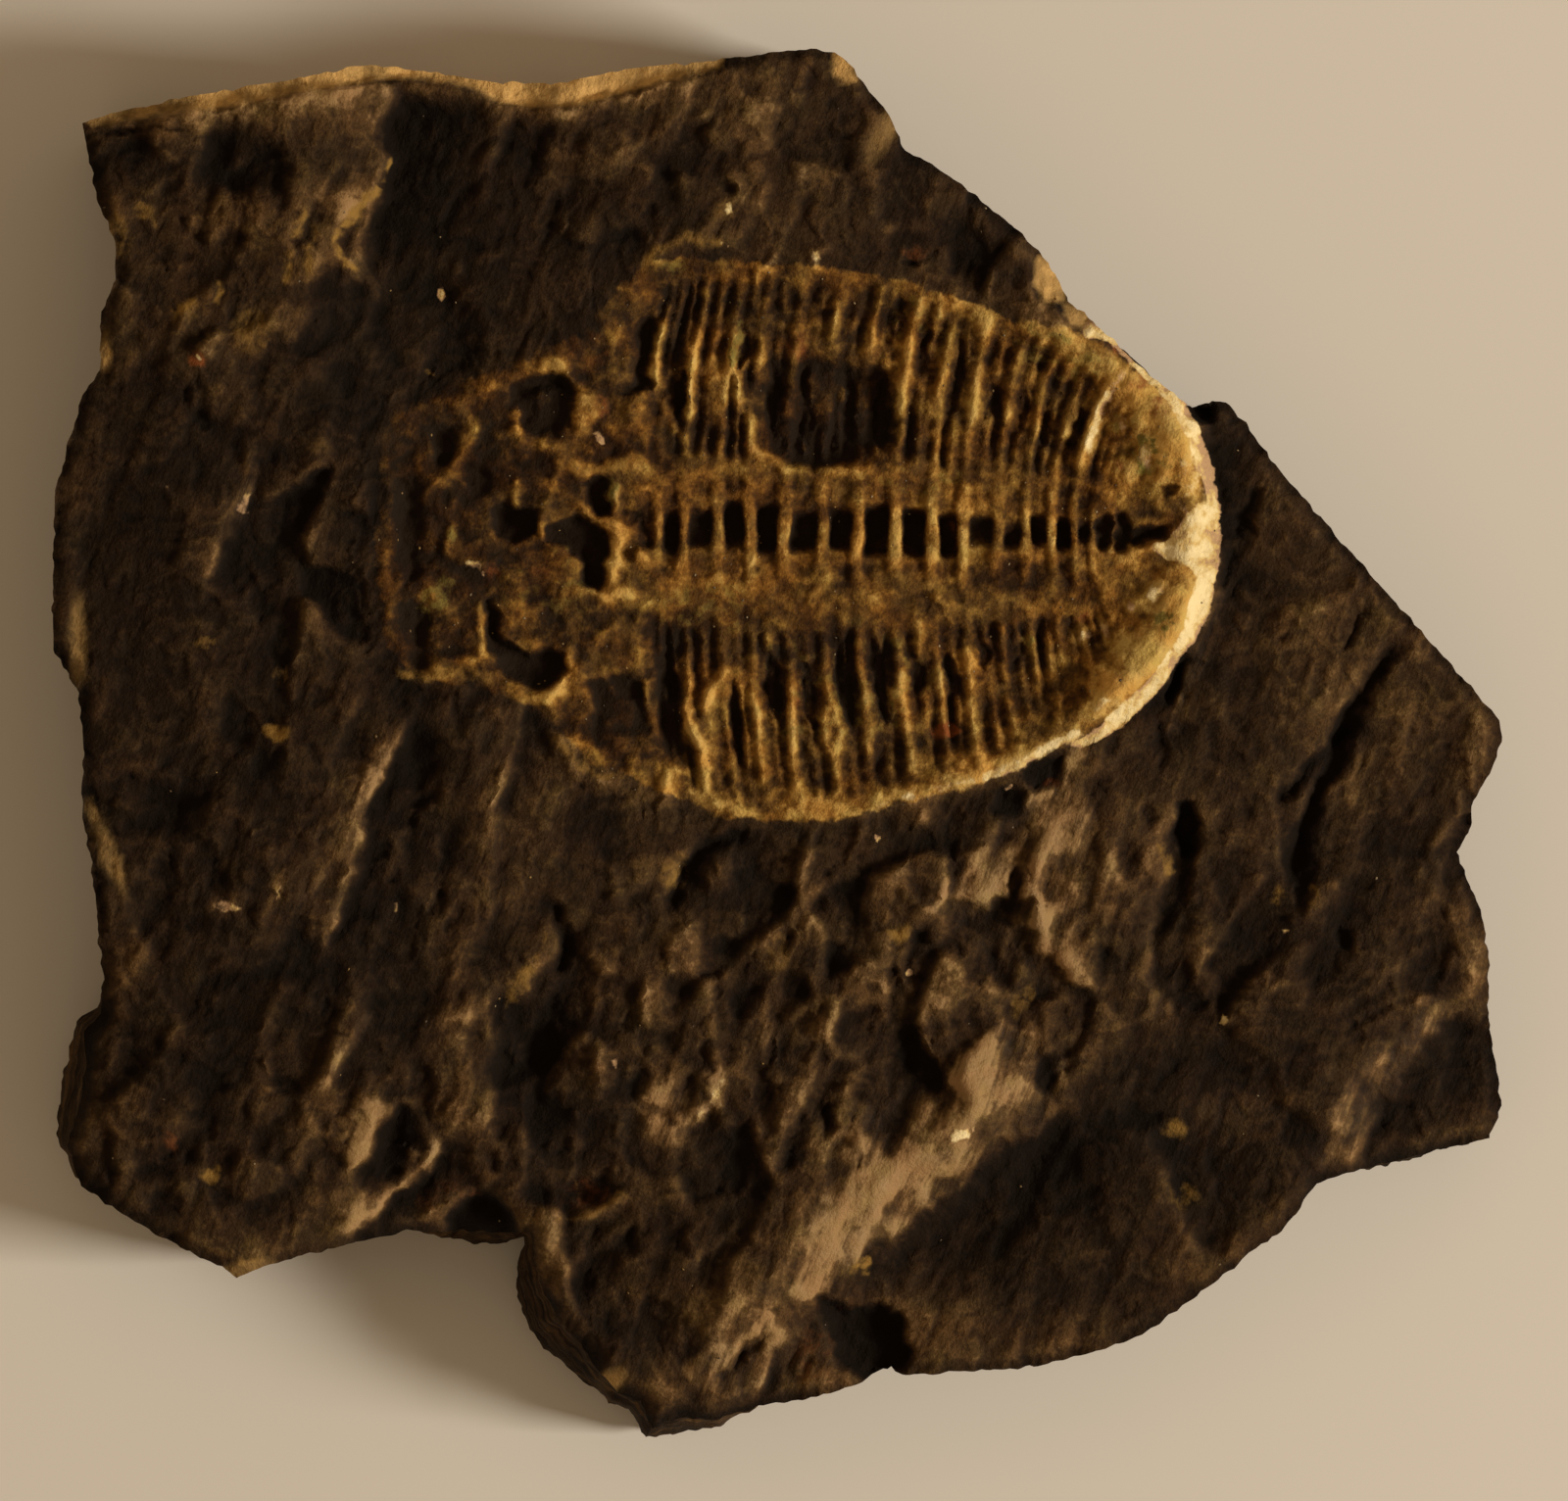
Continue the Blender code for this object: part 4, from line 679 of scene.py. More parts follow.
WARM_SPOTS = (
    (1080, 670, 44, 40, 0, 0.7), (1160, 592, 40, 16, 0, 0.6), (1150, 440, 60, 70, 0, 1.0),
    (1150, 640, 70, 80, 30, 0.85), (860, 320, 240, 60, 170, 0.45), (980, 420, 180, 60, 160, 0.4),
    (880, 740, 260, 90, 10, 0.3), (860, 824, 180, 16, 0, 0.6), (1030, 786, 60, 16, 20, 0.7),
    (1147, 434, 10, 18, 0, 1.0), (1171, 462, 12, 24, 0, 1.1), (1176, 424, 12, 8, 20, 0.8),
    (1180, 506, 10, 6, 0, 0.7), (1172, 530, 18, 5, 0, 0.6), (1155, 572, 12, 6, 0, 0.9),
    (1063, 571, 7, 8, 0, 0.8), (1181, 600, 12, 12, 30, 1.4), (1155, 620, 9, 13, 0, 1.4),
    (1185, 633, 14, 12, 30, 0.6), (1131, 645, 7, 17, 0, 1.4), (1108, 649, 12, 10, 0, 1.3),
    (1114, 680, 12, 22, 0, 1.1), (1120, 700, 14, 12, 0, 0.5), (1128, 718, 24, 6, 10, 0.9),
    (1050, 651, 7, 7, 0, 1.0), (1102, 351, 9, 7, 30, 1.0), (1080, 580, 40, 16, 0, 0.3),
    (1070, 700, 26, 44, 0, 0.6), (1020, 620, 60, 22, 0, 0.4), (900, 604, 130, 24, 0, 0.3),
    (740, 604, 70, 28, 0, 0.3), (1010, 380, 110, 80, 150, 0.5), (1075, 400, 40, 60, 0, 0.6),
    (830, 335, 100, 36, 0, 0.4), (930, 350, 40, 70, 0, 0.5), (728, 365, 30, 76, 0, 0.75),
    (900, 745, 130, 60, 0, 0.34), (1020, 720, 50, 60, 0, 0.6), (740, 750, 60, 80, 0, 0.45),
    (700, 800, 60, 20, 0, 0.4), (690, 272, 12, 12, 20, 0.8), (670, 365, 9, 44, 0, 0.9),
    (624, 343, 7, 7, 0, 1.0), (630, 370, 12, 40, 0, 0.4), (600, 366, 13, 12, 0, 0.5),
    (562, 371, 20, 7, 0, 0.8), (595, 424, 15, 28, 0, 0.95), (628, 428, 11, 11, 0, 1.0),
    (560, 452, 30, 9, 0, 0.6), (527, 438, 8, 20, 0, 0.7), (478, 434, 8, 18, 0, 0.6),
    (600, 478, 40, 10, 0, 0.6), (562, 494, 8, 9, 0, 1.0), (526, 500, 7, 14, 0, 0.9),
    (628, 500, 7, 14, 0, 1.0), (626, 545, 20, 30, 0, 0.5), (461, 545, 6, 12, 0, 0.9),
    (438, 606, 11, 28, 150, 0.95), (414, 688, 14, 12, 0, 1.0), (448, 688, 26, 7, 0, 0.8),
    (478, 676, 15, 7, 0, 0.9), (493, 645, 6, 24, 0, 0.8), (545, 610, 50, 40, 0, 0.35),
    (640, 610, 32, 10, 0, 0.8), (618, 662, 16, 30, 0, 0.5), (577, 690, 12, 20, 0, 1.0),
    (557, 713, 14, 7, 30, 0.8), (378, 545, 9, 50, 0, 0.6), (392, 590, 8, 46, 0, 0.55),
    (440, 560, 8, 30, 0, 0.4), (580, 770, 12, 20, 150, 0.8), (612, 796, 30, 7, 0, 0.8),
    (704, 740, 8, 34, 160, 0.9), (684, 800, 8, 26, 30, 0.8), (800, 540, 60, 40, 0, 0.3),
    (900, 540, 60, 40, 0, 0.4), (985, 540, 30, 40, 0, 0.5), (1050, 540, 50, 30, 0, 0.35),
    (850, 480, 120, 12, 0, 0.35), (780, 264, 30, 16, 0, 0.6), (840, 262, 24, 18, 0, 0.7),
)
OLIVE_SPOTS = (
    (1226, 648, 36, 9, 61, 0.8), (1176, 724, 20, 7, 38, 0.8), (1220, 546, 12, 10, 0, 0.7),
    (1236, 470, 7, 24, 20, 0.5), (1244, 580, 6, 36, 0, 0.6), (1140, 752, 26, 6, 30, 0.6),
    (1171, 462, 14, 26, 0, 0.9), (1147, 434, 12, 18, 0, 0.5), (1185, 632, 16, 14, 30, 0.8),
    (1050, 651, 8, 8, 0, 0.8), (1200, 470, 10, 20, 0, 0.6), (1102, 351, 10, 8, 30, 0.6),
    (442, 612, 12, 34, 150, 0.9), (624, 500, 9, 14, 0, 0.9), (688, 272, 12, 12, 0, 0.9),
    (462, 545, 7, 14, 0, 0.8), (580, 572, 22, 14, 0, 0.5), (565, 420, 20, 20, 0, 0.4),
    (1080, 360, 60, 30, 150, 0.4), (940, 330, 40, 50, 0, 0.35), (860, 700, 120, 70, 0, 0.35),
    (1025, 820, 18, 16, 0, 0.6), (250, 345, 20, 26, 0, 0.4), (560, 600, 50, 30, 0, 0.4),
    (720, 620, 60, 30, 0, 0.4), (935, 490, 70, 14, 0, 0.4), (750, 340, 10, 40, 0, 0.7),
    (185, 968, 50, 12, 30, 0.5),
)
CREAM_FACETS = (
    (6, 0.9, ((1112, 324), (1155, 352), (1190, 384), (1212, 410), (1224, 436), (1234, 458), (1242, 480),
        (1246, 518), (1234, 518), (1230, 495), (1223, 475), (1215, 458), (1207, 440), (1200, 424),
        (1192, 410), (1178, 394), (1164, 381), (1148, 366), (1138, 352), (1124, 346), (1108, 346),
        (1104, 336))),
    (14, 0.44, ((1200, 470), (1224, 468), (1236, 492), (1236, 520), (1212, 526), (1196, 520), (1204, 494))),
    (6, 1.0, ((1222, 515), (1246, 512), (1248, 550), (1244, 576), (1241, 592), (1239, 606), (1236, 620),
        (1231, 634), (1222, 651), (1214, 661), (1206, 671), (1199, 681), (1193, 690), (1187, 700),
        (1180, 709), (1168, 719), (1157, 731), (1147, 741), (1135, 749), (1118, 757), (1104, 764),
        (1092, 762), (1101, 756), (1114, 749), (1128, 740), (1139, 728), (1152, 716), (1163, 706),
        (1173, 696), (1180, 686), (1188, 675), (1195, 664), (1202, 654), (1207, 643), (1211, 632),
        (1215, 621), (1218, 609), (1221, 599), (1221, 588), (1212, 578), (1200, 571), (1185, 567),
        (1178, 560), (1192, 552), (1198, 541), (1208, 530))),
)
CREAM_STROKES = (
    (6, 0.42, ((736, 1100), (728, 1124), (710, 1144))),
    (6, 0.75, ((1105, 744), (1070, 764), (1030, 784), (1000, 795))),
    (6, 0.5, ((1000, 795), (950, 806), (905, 820), (886, 832))), (4, 0.6, ((745, 250), (735, 246))),
    (7, 0.62, ((1108, 464), (1116, 440), (1124, 416), (1136, 396), (1150, 374))),
    (4, 1.25, ((1225, 585), (1223, 602), (1217, 623), (1210, 644), (1198, 665), (1184, 685), (1167, 705),
        (1144, 725), (1128, 743), (1112, 753))),
)
# The small bright flecks on the bare stone are partly painted glints; the spots on the tail carry the lip's
# cream colour
CREAM_SPOTS = (
    (1128, 643, 5, 10, 20, 0.6), (1178, 603, 9, 8, 40, 0.62), (481, 578, 9, 6, 20, 0.6),
    (490, 586, 5, 3, 0, 0.6), (614, 444, 6, 9, 20, 0.8), (450, 299, 4, 6, 0, 0.9),
    (233, 927, 14, 8, 0, 0.62), (283, 911, 6, 14, 160, 0.6), (404, 930, 5, 12, 0, 0.55),
    (249, 514, 7, 13, 170, 0.58), (397, 1008, 4, 4, 0, 0.6), (167, 494, 4, 4, 0, 0.5),
    (1181, 600, 10, 9, 30, 0.56), (1155, 620, 6, 11, 0, 0.56), (1131, 645, 5, 14, 0, 0.54),
    (1108, 649, 8, 6, 0, 0.5), (1112, 690, 5, 16, 0, 0.46), (1130, 719, 22, 4, 10, 0.55),
    (1147, 434, 6, 14, 0, 0.5), (1171, 462, 7, 16, 0, 0.52), (1200, 560, 26, 9, 0, 0.9),
    (897, 857, 5, 5, 0, 0.9), (1030, 806, 4, 3, 0, 0.7), (1127, 865, 4, 6, 0, 0.6),
    (1309, 951, 9, 5, 30, 0.7), (1251, 1045, 5, 5, 0, 0.7), (928, 994, 5, 6, 0, 0.6),
    (744, 212, 5, 6, 0, 0.7), (982, 1159, 14, 6, 20, 0.85), (626, 1085, 6, 9, 160, 0.6),
    (200, 367, 6, 4, 0, 0.7), (832, 262, 10, 12, 20, 0.5), (787, 270, 14, 6, 20, 0.4),
)
HIGHLIGHT_AND_PALE_STROKES = (
    (12, 0.5, ((1241, 590), (1234, 645), (1217, 700), (1192, 750))),
    (5, 0.5, ((1248, 586), (1240, 630), (1226, 676), (1208, 716))),
    (6, 1.0, ((1108, 760), (1096, 774), (1088, 790), (1078, 806), (1062, 820))),
    (3, 1.1, ((816, 1328), (836, 1322), (851, 1310), (875, 1288), (904, 1263), (934, 1241), (963, 1222),
        (993, 1207))),
    (4, 0.8, ((802, 1338), (787, 1360), (784, 1400), (768, 1430))),
    (5, 0.5, ((1000, 1075), (1000, 1120), (985, 1150))),
    (7, 0.95, ((735, 1096), (728, 1122), (708, 1146), (690, 1158))),
    (9, 0.7, ((1440, 1090), (1405, 1140), (1372, 1178), (1350, 1192))),
    (6, 0.7, ((1020, 924), (998, 928), (982, 942), (970, 950))),
    (4, 0.6, ((392, 784), (376, 815), (362, 860))), (4, 0.7, ((350, 915), (340, 945), (326, 972))),
    (5, 0.6, ((382, 1034), (358, 1062), (342, 1094))), (5, 0.6, ((386, 1126), (374, 1158), (356, 1190))),
    (5, 0.75, ((440, 1158), (447, 1174), (432, 1196), (398, 1224), (356, 1262))),
    (10, 0.75, ((252, 470), (250, 500), (242, 532))), (6, 0.4, ((226, 560), (216, 590))),
    (4, 0.5, ((250, 600), (257, 636))), (7, 0.4, ((1082, 900), (1070, 950), (1054, 1000), (1040, 1030))),
    (6, 0.5, ((1205, 825), (1192, 862), (1186, 900))),
    (5, 0.5, ((1180, 935), (1172, 970), (1180, 1006), (1200, 1042))),
    (14, 0.3, ((500, 770), (498, 860), (490, 930))), (12, 0.25, ((345, 780), (330, 860), (325, 930))),
    (10, 0.3, ((372, 110), (368, 150), (352, 200))), (5, 0.5, ((398, 74), (394, 100))),
    (5, 0.4, ((780, 1022), (782, 1066))), (6, 0.4, ((752, 1266), (720, 1280), (700, 1300))),
    (5, 0.35, ((890, 1130), (880, 1160))),
)
HIGHLIGHT_AND_PALE_SPOTS = (
    (1085, 840, 36, 44, 0, 0.9), (1010, 895, 60, 30, 30, 0.8), (1075, 940, 30, 70, 0, 0.65),
    (682, 1135, 36, 34, 0, 0.8), (770, 1385, 50, 24, 45, 0.8), (930, 1150, 100, 34, 20, 0.6),
    (1260, 1145, 60, 30, 20, 0.5), (920, 1215, 60, 26, 30, 0.5), (233, 925, 20, 12, 0, 0.8),
    (280, 910, 10, 18, 160, 0.8), (190, 868, 8, 8, 0, 0.5), (400, 930, 7, 18, 0, 0.6),
    (436, 920, 9, 9, 0, 0.4), (995, 1102, 12, 14, 0, 0.6), (1385, 815, 12, 9, 0, 0.45),
    (1385, 966, 7, 8, 0, 0.5), (490, 262, 14, 5, 30, 0.35), (168, 491, 6, 7, 0, 0.4),
    (397, 1006, 5, 5, 0, 0.5), (468, 999, 4, 6, 0, 0.6), (217, 1021, 4, 5, 0, 0.5),
    (600, 420, 24, 22, 0, 0.45), (585, 682, 10, 24, 160, 0.6), (1140, 850, 60, 60, 0, 0.2),
    (1040, 860, 40, 26, 30, 0.3),
)
OCHRE_STROKES = (
    (4, 0.45, ((560, 1250), (600, 1240), (636, 1224), (626, 1216))), (3, 0.4, ((588, 1206), (592, 1224))),
    (3, 0.5, ((560, 948), (544, 978), (522, 1014))),
    (8, 0.6, ((400, 686), (430, 690), (470, 682), (500, 700))),
    (7, 0.5, ((650, 275), (668, 254), (700, 242), (745, 246))),
    (6, 0.5, ((566, 745), (578, 768), (600, 786), (640, 792))),
    (4, 0.9, ((386, 188), (372, 206), (356, 220), (344, 236), (342, 252), (352, 268), (366, 278))),
    (3, 0.7, ((398, 160), (388, 186), (378, 200))), (4, 0.75, ((312, 214), (304, 232), (300, 244))),
    (4, 0.6, ((326, 228), (318, 256), (314, 280))), (4, 0.6, ((298, 256), (292, 278), (288, 292))),
    (3, 0.7, ((224, 284), (222, 300), (218, 312))), (4, 0.7, ((200, 300), (186, 312), (176, 332))),
    (3, 0.5, ((150, 206), (158, 222), (166, 240))), (7, 0.5, ((548, 370), (566, 368), (580, 384))),
    (8, 0.5, ((580, 478), (610, 480), (640, 472))), (7, 0.4, ((626, 335), (622, 370), (630, 395))),
)
OCHRE_SPOTS = (
    (1128, 643, 8, 16, 20, 0.7), (1104, 646, 10, 12, 0, 0.6), (1114, 690, 10, 18, 0, 0.5),
    (1157, 621, 11, 9, 30, 0.7), (1179, 603, 14, 13, 40, 0.7), (1146, 590, 18, 7, 10, 0.45),
    (300, 262, 50, 34, 20, 0.24), (342, 180, 46, 90, 10, 0.14), (188, 320, 16, 18, 20, 0.3),
    (255, 335, 26, 30, 0, 0.35), (280, 746, 14, 9, 0, 0.7), (285, 686, 9, 16, 160, 0.5),
    (81, 650, 8, 42, 0, 0.3), (110, 872, 46, 8, 109, 0.3), (250, 1290, 20, 8, 20, 0.4),
    (215, 1200, 12, 12, 30, 0.6), (880, 1297, 9, 9, 0, 1.0), (1200, 1155, 14, 14, 0, 0.5),
    (1212, 1222, 18, 16, 20, 0.5), (1190, 880, 8, 20, 10, 0.5), (1304, 916, 7, 14, 0, 0.5),
    (1340, 916, 7, 14, 0, 0.4), (918, 952, 14, 9, 0, 0.6), (1045, 1020, 12, 22, 160, 0.5),
    (208, 655, 10, 16, 150, 0.5), (530, 1005, 10, 30, 150, 0.45), (120, 240, 14, 26, 0, 0.4),
    (148, 215, 12, 12, 0, 0.45), (106, 360, 7, 18, 0, 0.5), (690, 890, 16, 24, 150, 0.45),
    (795, 975, 14, 26, 150, 0.3), (433, 378, 7, 6, 0, 0.5), (740, 215, 20, 14, 0, 0.3),
)
RUST_SPOTS = (
    (880, 1297, 7, 7, 0, 0.3), (1163, 389, 15, 10, 0, 0.6), (1183, 412, 8, 16, 150, 0.6),
    (1135, 358, 15, 9, 30, 0.5), (1130, 566, 12, 5, 0, 0.5), (1106, 630, 9, 6, 0, 0.5),
    (1140, 695, 8, 11, 0, 0.5), (1145, 472, 6, 8, 0, 0.5), (1160, 652, 14, 14, 0, 0.35),
    (1180, 506, 10, 6, 0, 0.35), (813, 352, 10, 18, 0, 0.45), (890, 360, 9, 10, 0, 0.4),
    (935, 317, 7, 10, 0, 0.4), (768, 454, 10, 6, 0, 0.5), (810, 718, 7, 12, 0, 0.4),
    (857, 798, 9, 8, 0, 0.3), (838, 442, 5, 8, 0, 0.4), (965, 745, 13, 8, 0, 0.9),
    (200, 368, 11, 8, 0, 0.8), (600, 1224, 38, 24, 10, 0.25), (450, 1222, 44, 20, 10, 0.25),
    (270, 1150, 50, 90, 170, 0.12), (860, 1330, 40, 16, 10, 0.2), (612, 415, 10, 12, 0, 0.5),
    (600, 360, 30, 24, 0, 0.3), (170, 1165, 10, 18, 30, 0.3), (1190, 410, 14, 12, 0, 0.4),
    (978, 545, 6, 18, 0, 0.35), (830, 1390, 22, 40, 0, 0.3), (935, 256, 18, 8, 0, 0.4),
    (500, 585, 12, 12, 0, 0.4), (548, 583, 10, 8, 0, 0.4), (1075, 800, 10, 8, 0, 0.4),
)
# Painted shade: darkening of pits, hollows, shadowed sides and slopes turned from the light, and partly
# darker stone
SHADE_AND_DARK_STONE_SPOTS = (
    (730, 310, 120, 60, 0, 0.45), (850, 290, 70, 50, 0, 0.5), (700, 430, 80, 40, 0, 0.5),
    (845, 370, 50, 44, 0, 0.8), (895, 440, 50, 50, 0, 1.0), (830, 510, 90, 40, 0, 0.9),
    (600, 345, 60, 50, 0, 0.8), (880, 600, 60, 30, 0, 0.5), (850, 690, 70, 50, 0, 0.75),
    (350, 370, 60, 90, 0, 0.7), (440, 460, 60, 70, 0, 0.7), (110, 1150, 40, 60, 0, 0.6),
    (520, 1000, 34, 40, 0, 0.4), (520, 1190, 34, 60, 0, 0.6), (280, 1230, 36, 30, 0, 0.45),
    (840, 1000, 36, 36, 0, 0.6), (1400, 1000, 36, 36, 0, 0.5), (1160, 1240, 36, 40, 0, 0.6),
    (600, 840, 34, 30, 0, 0.5), (1170, 592, 10, 8, 20, 0.5), (1172, 629, 9, 5, 20, 0.6),
    (1152, 680, 10, 12, 0, 0.8), (1140, 696, 8, 10, 0, 0.6), (1086, 640, 7, 18, 0, 0.9),
    (1189, 499, 8, 8, 0, 1.0), (1116, 485, 6, 18, 0, 0.8), (1118, 512, 18, 12, 0, 0.6),
    (1143, 474, 6, 9, 0, 0.6), (1060, 590, 60, 14, 0, 0.4), (1100, 604, 30, 14, 0, 0.6),
    (480, 560, 130, 190, 0, 0.85), (640, 720, 60, 60, 0, 0.6), (400, 560, 40, 150, 0, 1.0),
    (374, 550, 34, 130, 0, 1.0), (300, 720, 240, 360, 0, 0.54), (160, 1120, 130, 140, 0, 0.55),
    (1250, 1130, 210, 110, 20, 0.6), (1330, 1000, 160, 130, 20, 0.35), (470, 240, 75, 170, 5, 0.75),
    (560, 330, 60, 60, 0, 0.6), (590, 250, 60, 70, 0, 0.35), (120, 165, 44, 34, 0, 0.5),
    (250, 168, 58, 38, 170, 0.6), (330, 500, 40, 110, 0, 0.55), (340, 420, 60, 60, 0, 0.4),
    (150, 760, 70, 90, 0, 0.4), (75, 1130, 34, 100, 170, 0.8), (130, 1180, 70, 60, 0, 0.6),
    (560, 1110, 70, 110, 0, 0.75), (490, 1252, 36, 30, 0, 0.9), (600, 1380, 40, 80, 40, 0.85),
    (690, 1452, 60, 26, 0, 0.8), (885, 1372, 52, 40, 165, 0.9), (1130, 1195, 90, 66, 0, 0.85),
    (1060, 1280, 50, 60, 0, 0.4), (430, 850, 50, 110, 10, 0.35), (945, 1080, 24, 46, 170, 0.55),
    (915, 1145, 20, 32, 150, 0.4), (1213, 847, 12, 28, 0, 0.9), (1370, 760, 22, 46, 150, 0.75),
    (1330, 870, 14, 60, 160, 0.7), (1440, 985, 70, 30, 150, 0.45), (1440, 1130, 90, 40, 20, 0.5),
    (1000, 240, 60, 34, 145, 0.6), (925, 190, 40, 44, 0, 0.45), (690, 190, 50, 50, 30, 0.4),
    (1062, 790, 26, 16, 30, 0.8), (1018, 262, 52, 26, 145, 0.8), (1080, 320, 11, 10, 0, 0.9),
    (1026, 822, 18, 18, 0, 0.7), (1068, 1096, 10, 20, 160, 0.6), (402, 1166, 16, 34, 160, 0.7),
    (650, 745, 48, 44, 20, 0.5), (740, 885, 50, 34, 30, 0.4), (770, 1190, 50, 70, 0, 0.35),
    (700, 1280, 40, 40, 0, 0.3), (842, 420, 66, 48, 0, 0.85), (740, 262, 56, 12, 0, 0.5),
    (700, 350, 14, 60, 10, 0.4), (1226, 418, 16, 15, 0, 1.0), (416, 540, 12, 62, 0, 0.8),
    (424, 650, 10, 34, 0, 0.5), (1196, 702, 8, 24, 160, 0.6), (1250, 520, 10, 60, 0, 0.35),
)
RIND_FACETS = (
    (4, 0.45, ((70, 112), (204, 82), (204, 112), (92, 127))),
    (4, 0.72, ((200, 84), (286, 70), (378, 52), (410, 56), (410, 78), (380, 80), (300, 95), (240, 107),
        (200, 112))),
    (4, 0.9, ((400, 55), (500, 66), (561, 70), (638, 56), (638, 92), (590, 106), (540, 107), (510, 103),
        (480, 88), (440, 78), (400, 78))),
    (4, 0.7, ((630, 58), (714, 50), (740, 50), (735, 66), (700, 77), (630, 94))),
    (4, 0.62, ((1056, 262), (1072, 262), (1088, 284), (1086, 306), (1068, 308), (1056, 290))),
    (4, 0.5, ((1086, 308), (1098, 304), (1118, 324), (1112, 338), (1092, 330))),
    (4, 0.9, ((850, 48), (868, 60), (876, 82), (858, 84), (850, 70))),
)
RIND_SPOTS = (
    (905, 130, 10, 40, 150, 0.3), (250, 1297, 26, 8, 10, 0.35), (78, 652, 8, 40, 0, 0.34),
    (110, 872, 8, 38, 20, 0.34), (620, 1415, 20, 10, 40, 0.5), (92, 830, 5, 14, 20, 0.3),
    (106, 358, 6, 18, 0, 0.3),
)


def ease(value):
    """Smooth step from 0 to 1."""
    share = np.clip(value, 0.0, 1.0)
    return share * share * (3.0 - 2.0 * share)


def by_x(x, table):
    """Value of a small table at x, straight between its rows."""
    columns = np.array(table, dtype=float)
    return np.interp(x, columns[:, 0], columns[:, 1])


def along_line(x, y, points):
    """Distance to a broken line, the side it is on (1 or -1) and the share of the line run so far."""
    corners = np.array(points, dtype=float)
    steps = np.diff(corners, axis=0)
    lengths = np.hypot(steps[:, 0], steps[:, 1])
    total = lengths.sum()
    run = 0.0
    nearest = np.full(x.shape, 1e9)
    side = np.ones(x.shape)
    share = np.zeros(x.shape)
    for corner, step, length in zip(corners[:-1], steps, lengths):
        from_x = x - corner[0]
        from_y = y - corner[1]
        place = np.clip((from_x * step[0] + from_y * step[1]) / length ** 2, 0.0, 1.0)
        gap = np.hypot(from_x - place * step[0], from_y - place * step[1])
        closer = gap < nearest
        turn = np.where(step[1] * from_x - step[0] * from_y >= 0.0, 1.0, -1.0)
        nearest = np.where(closer, gap, nearest)
        side = np.where(closer, turn, side)
        share = np.where(closer, (run + place * length) / total, share)
        run += length
    return nearest, side, share


def inside(x, y, points):
    """True where a place lies inside a closed outline."""
    found = np.zeros(x.shape, dtype=bool)
    for (ax, ay), (bx, by) in zip(points, points[1:] + points[:1]):
        crosses = (ay > y) != (by > y)
        rise = by - ay if by != ay else 1e-9
        found ^= crosses & (x < (bx - ax) * (y - ay) / rise + ax)
    return found


def near(x, y, points, reach):
    """Index of the places within reach of a line's box."""
    corners = np.array(points, dtype=float)
    low = corners.min(axis=0) - reach
    high = corners.max(axis=0) + reach
    return np.nonzero((x > low[0]) & (x < high[0]) & (y > low[1]) & (y < high[1]))[0]


def depth_inside(x, y, points, band):
    """Distance to a closed outline, positive inside it, measured up to the width of a band."""
    gap = np.full(x.shape, float(band))
    for start, end in zip(points, points[1:] + points[:1]):
        at = near(x, y, (start, end), band)
        found, _, _ = along_line(x[at], y[at], (start, end))
        gap[at] = np.minimum(gap[at], found)
    return np.where(inside(x, y, points), gap, -gap)


def fade_ends(share):
    """1 along a line, falling to 0 at both of its ends."""
    return ease(share / END_FADE) * ease((1.0 - share) / END_FADE)


def ledges(x, y, table):
    """Steps in the cleavage: a sharp drop that heals away on both sides."""
    height = np.zeros(x.shape)
    for width, drop, reach, points in table:
        at = near(x, y, points, LEDGE_CUT * reach)
        gap, side, share = along_line(x[at], y[at], points)
        fall = np.clip(side * gap / width, -1.0, 1.0) * np.exp(-((gap / reach) ** 2))
        height[at] -= 0.5 * drop * fall * fade_ends(share)
    return height


def lines(x, y, table, sign):
    """Raised or sunk lines with a rounded section."""
    height = np.zeros(x.shape)
    for width, size, points in table:
        at = near(x, y, points, LINE_CUT * width)
        gap, _, share = along_line(x[at], y[at], points)
        height[at] += sign * size * np.exp(-((gap / width) ** 2)) * fade_ends(share)
    return height


def round_gap(x, y, row):
    """How far a place is from an oval's middle, 1 on its rim."""
    angle = math.radians(row[4])
    across_x = (x - row[0]) * math.cos(angle) - (y - row[1]) * math.sin(angle)
    across_y = (x - row[0]) * math.sin(angle) + (y - row[1]) * math.cos(angle)
    return np.hypot(across_x / row[2], across_y / row[3])


def pits(x, y, table):
    """Sunk ovals with steep walls."""
    height = np.zeros(x.shape)
    for row in table:
        at = near(x, y, (row[:2],), PIT_RIM * max(row[2], row[3]))
        height[at] -= row[5] * ease((PIT_RIM - round_gap(x[at], y[at], row)) / PIT_WALL)
    return height


def holes(x, y, table):
    """Sunk places with a drawn outline and a steep wall."""
    height = np.zeros(x.shape)
    for wall, depth, points in table:
        at = near(x, y, points, wall)
        gap = depth_inside(x[at], y[at], points, wall)
        height[at] -= depth * ease(0.5 + 0.5 * gap / wall)
    return height


def stroke_mask(x, y, strokes, spots, facets=()):
    """Soft mask of drawn strokes, oval spots and facets."""
    mask = np.zeros(x.shape)
    for soft, amount, points in facets:
        at = near(x, y, points, soft)
        gap = depth_inside(x[at], y[at], points, soft)
        mask[at] = np.maximum(mask[at], amount * ease(0.5 + gap / soft))
    for width, amount, points in strokes:
        at = near(x, y, points, STROKE_CUT * width)
        gap, _, share = along_line(x[at], y[at], points)
        ends = ease(share / STROKE_END + STROKE_TIP) * ease((1.0 - share) / STROKE_END + STROKE_TIP)
        mask[at] = np.maximum(mask[at], amount * np.exp(-((gap / width) ** 2)) * ends)
    for row in spots:
        at = near(x, y, (row[:2],), SPOT_CUT * max(row[2], row[3]))
        share = ease((SPOT_RIM - round_gap(x[at], y[at], row)) / SPOT_SOFT)
        mask[at] = np.maximum(mask[at], row[5] * share)
    return mask


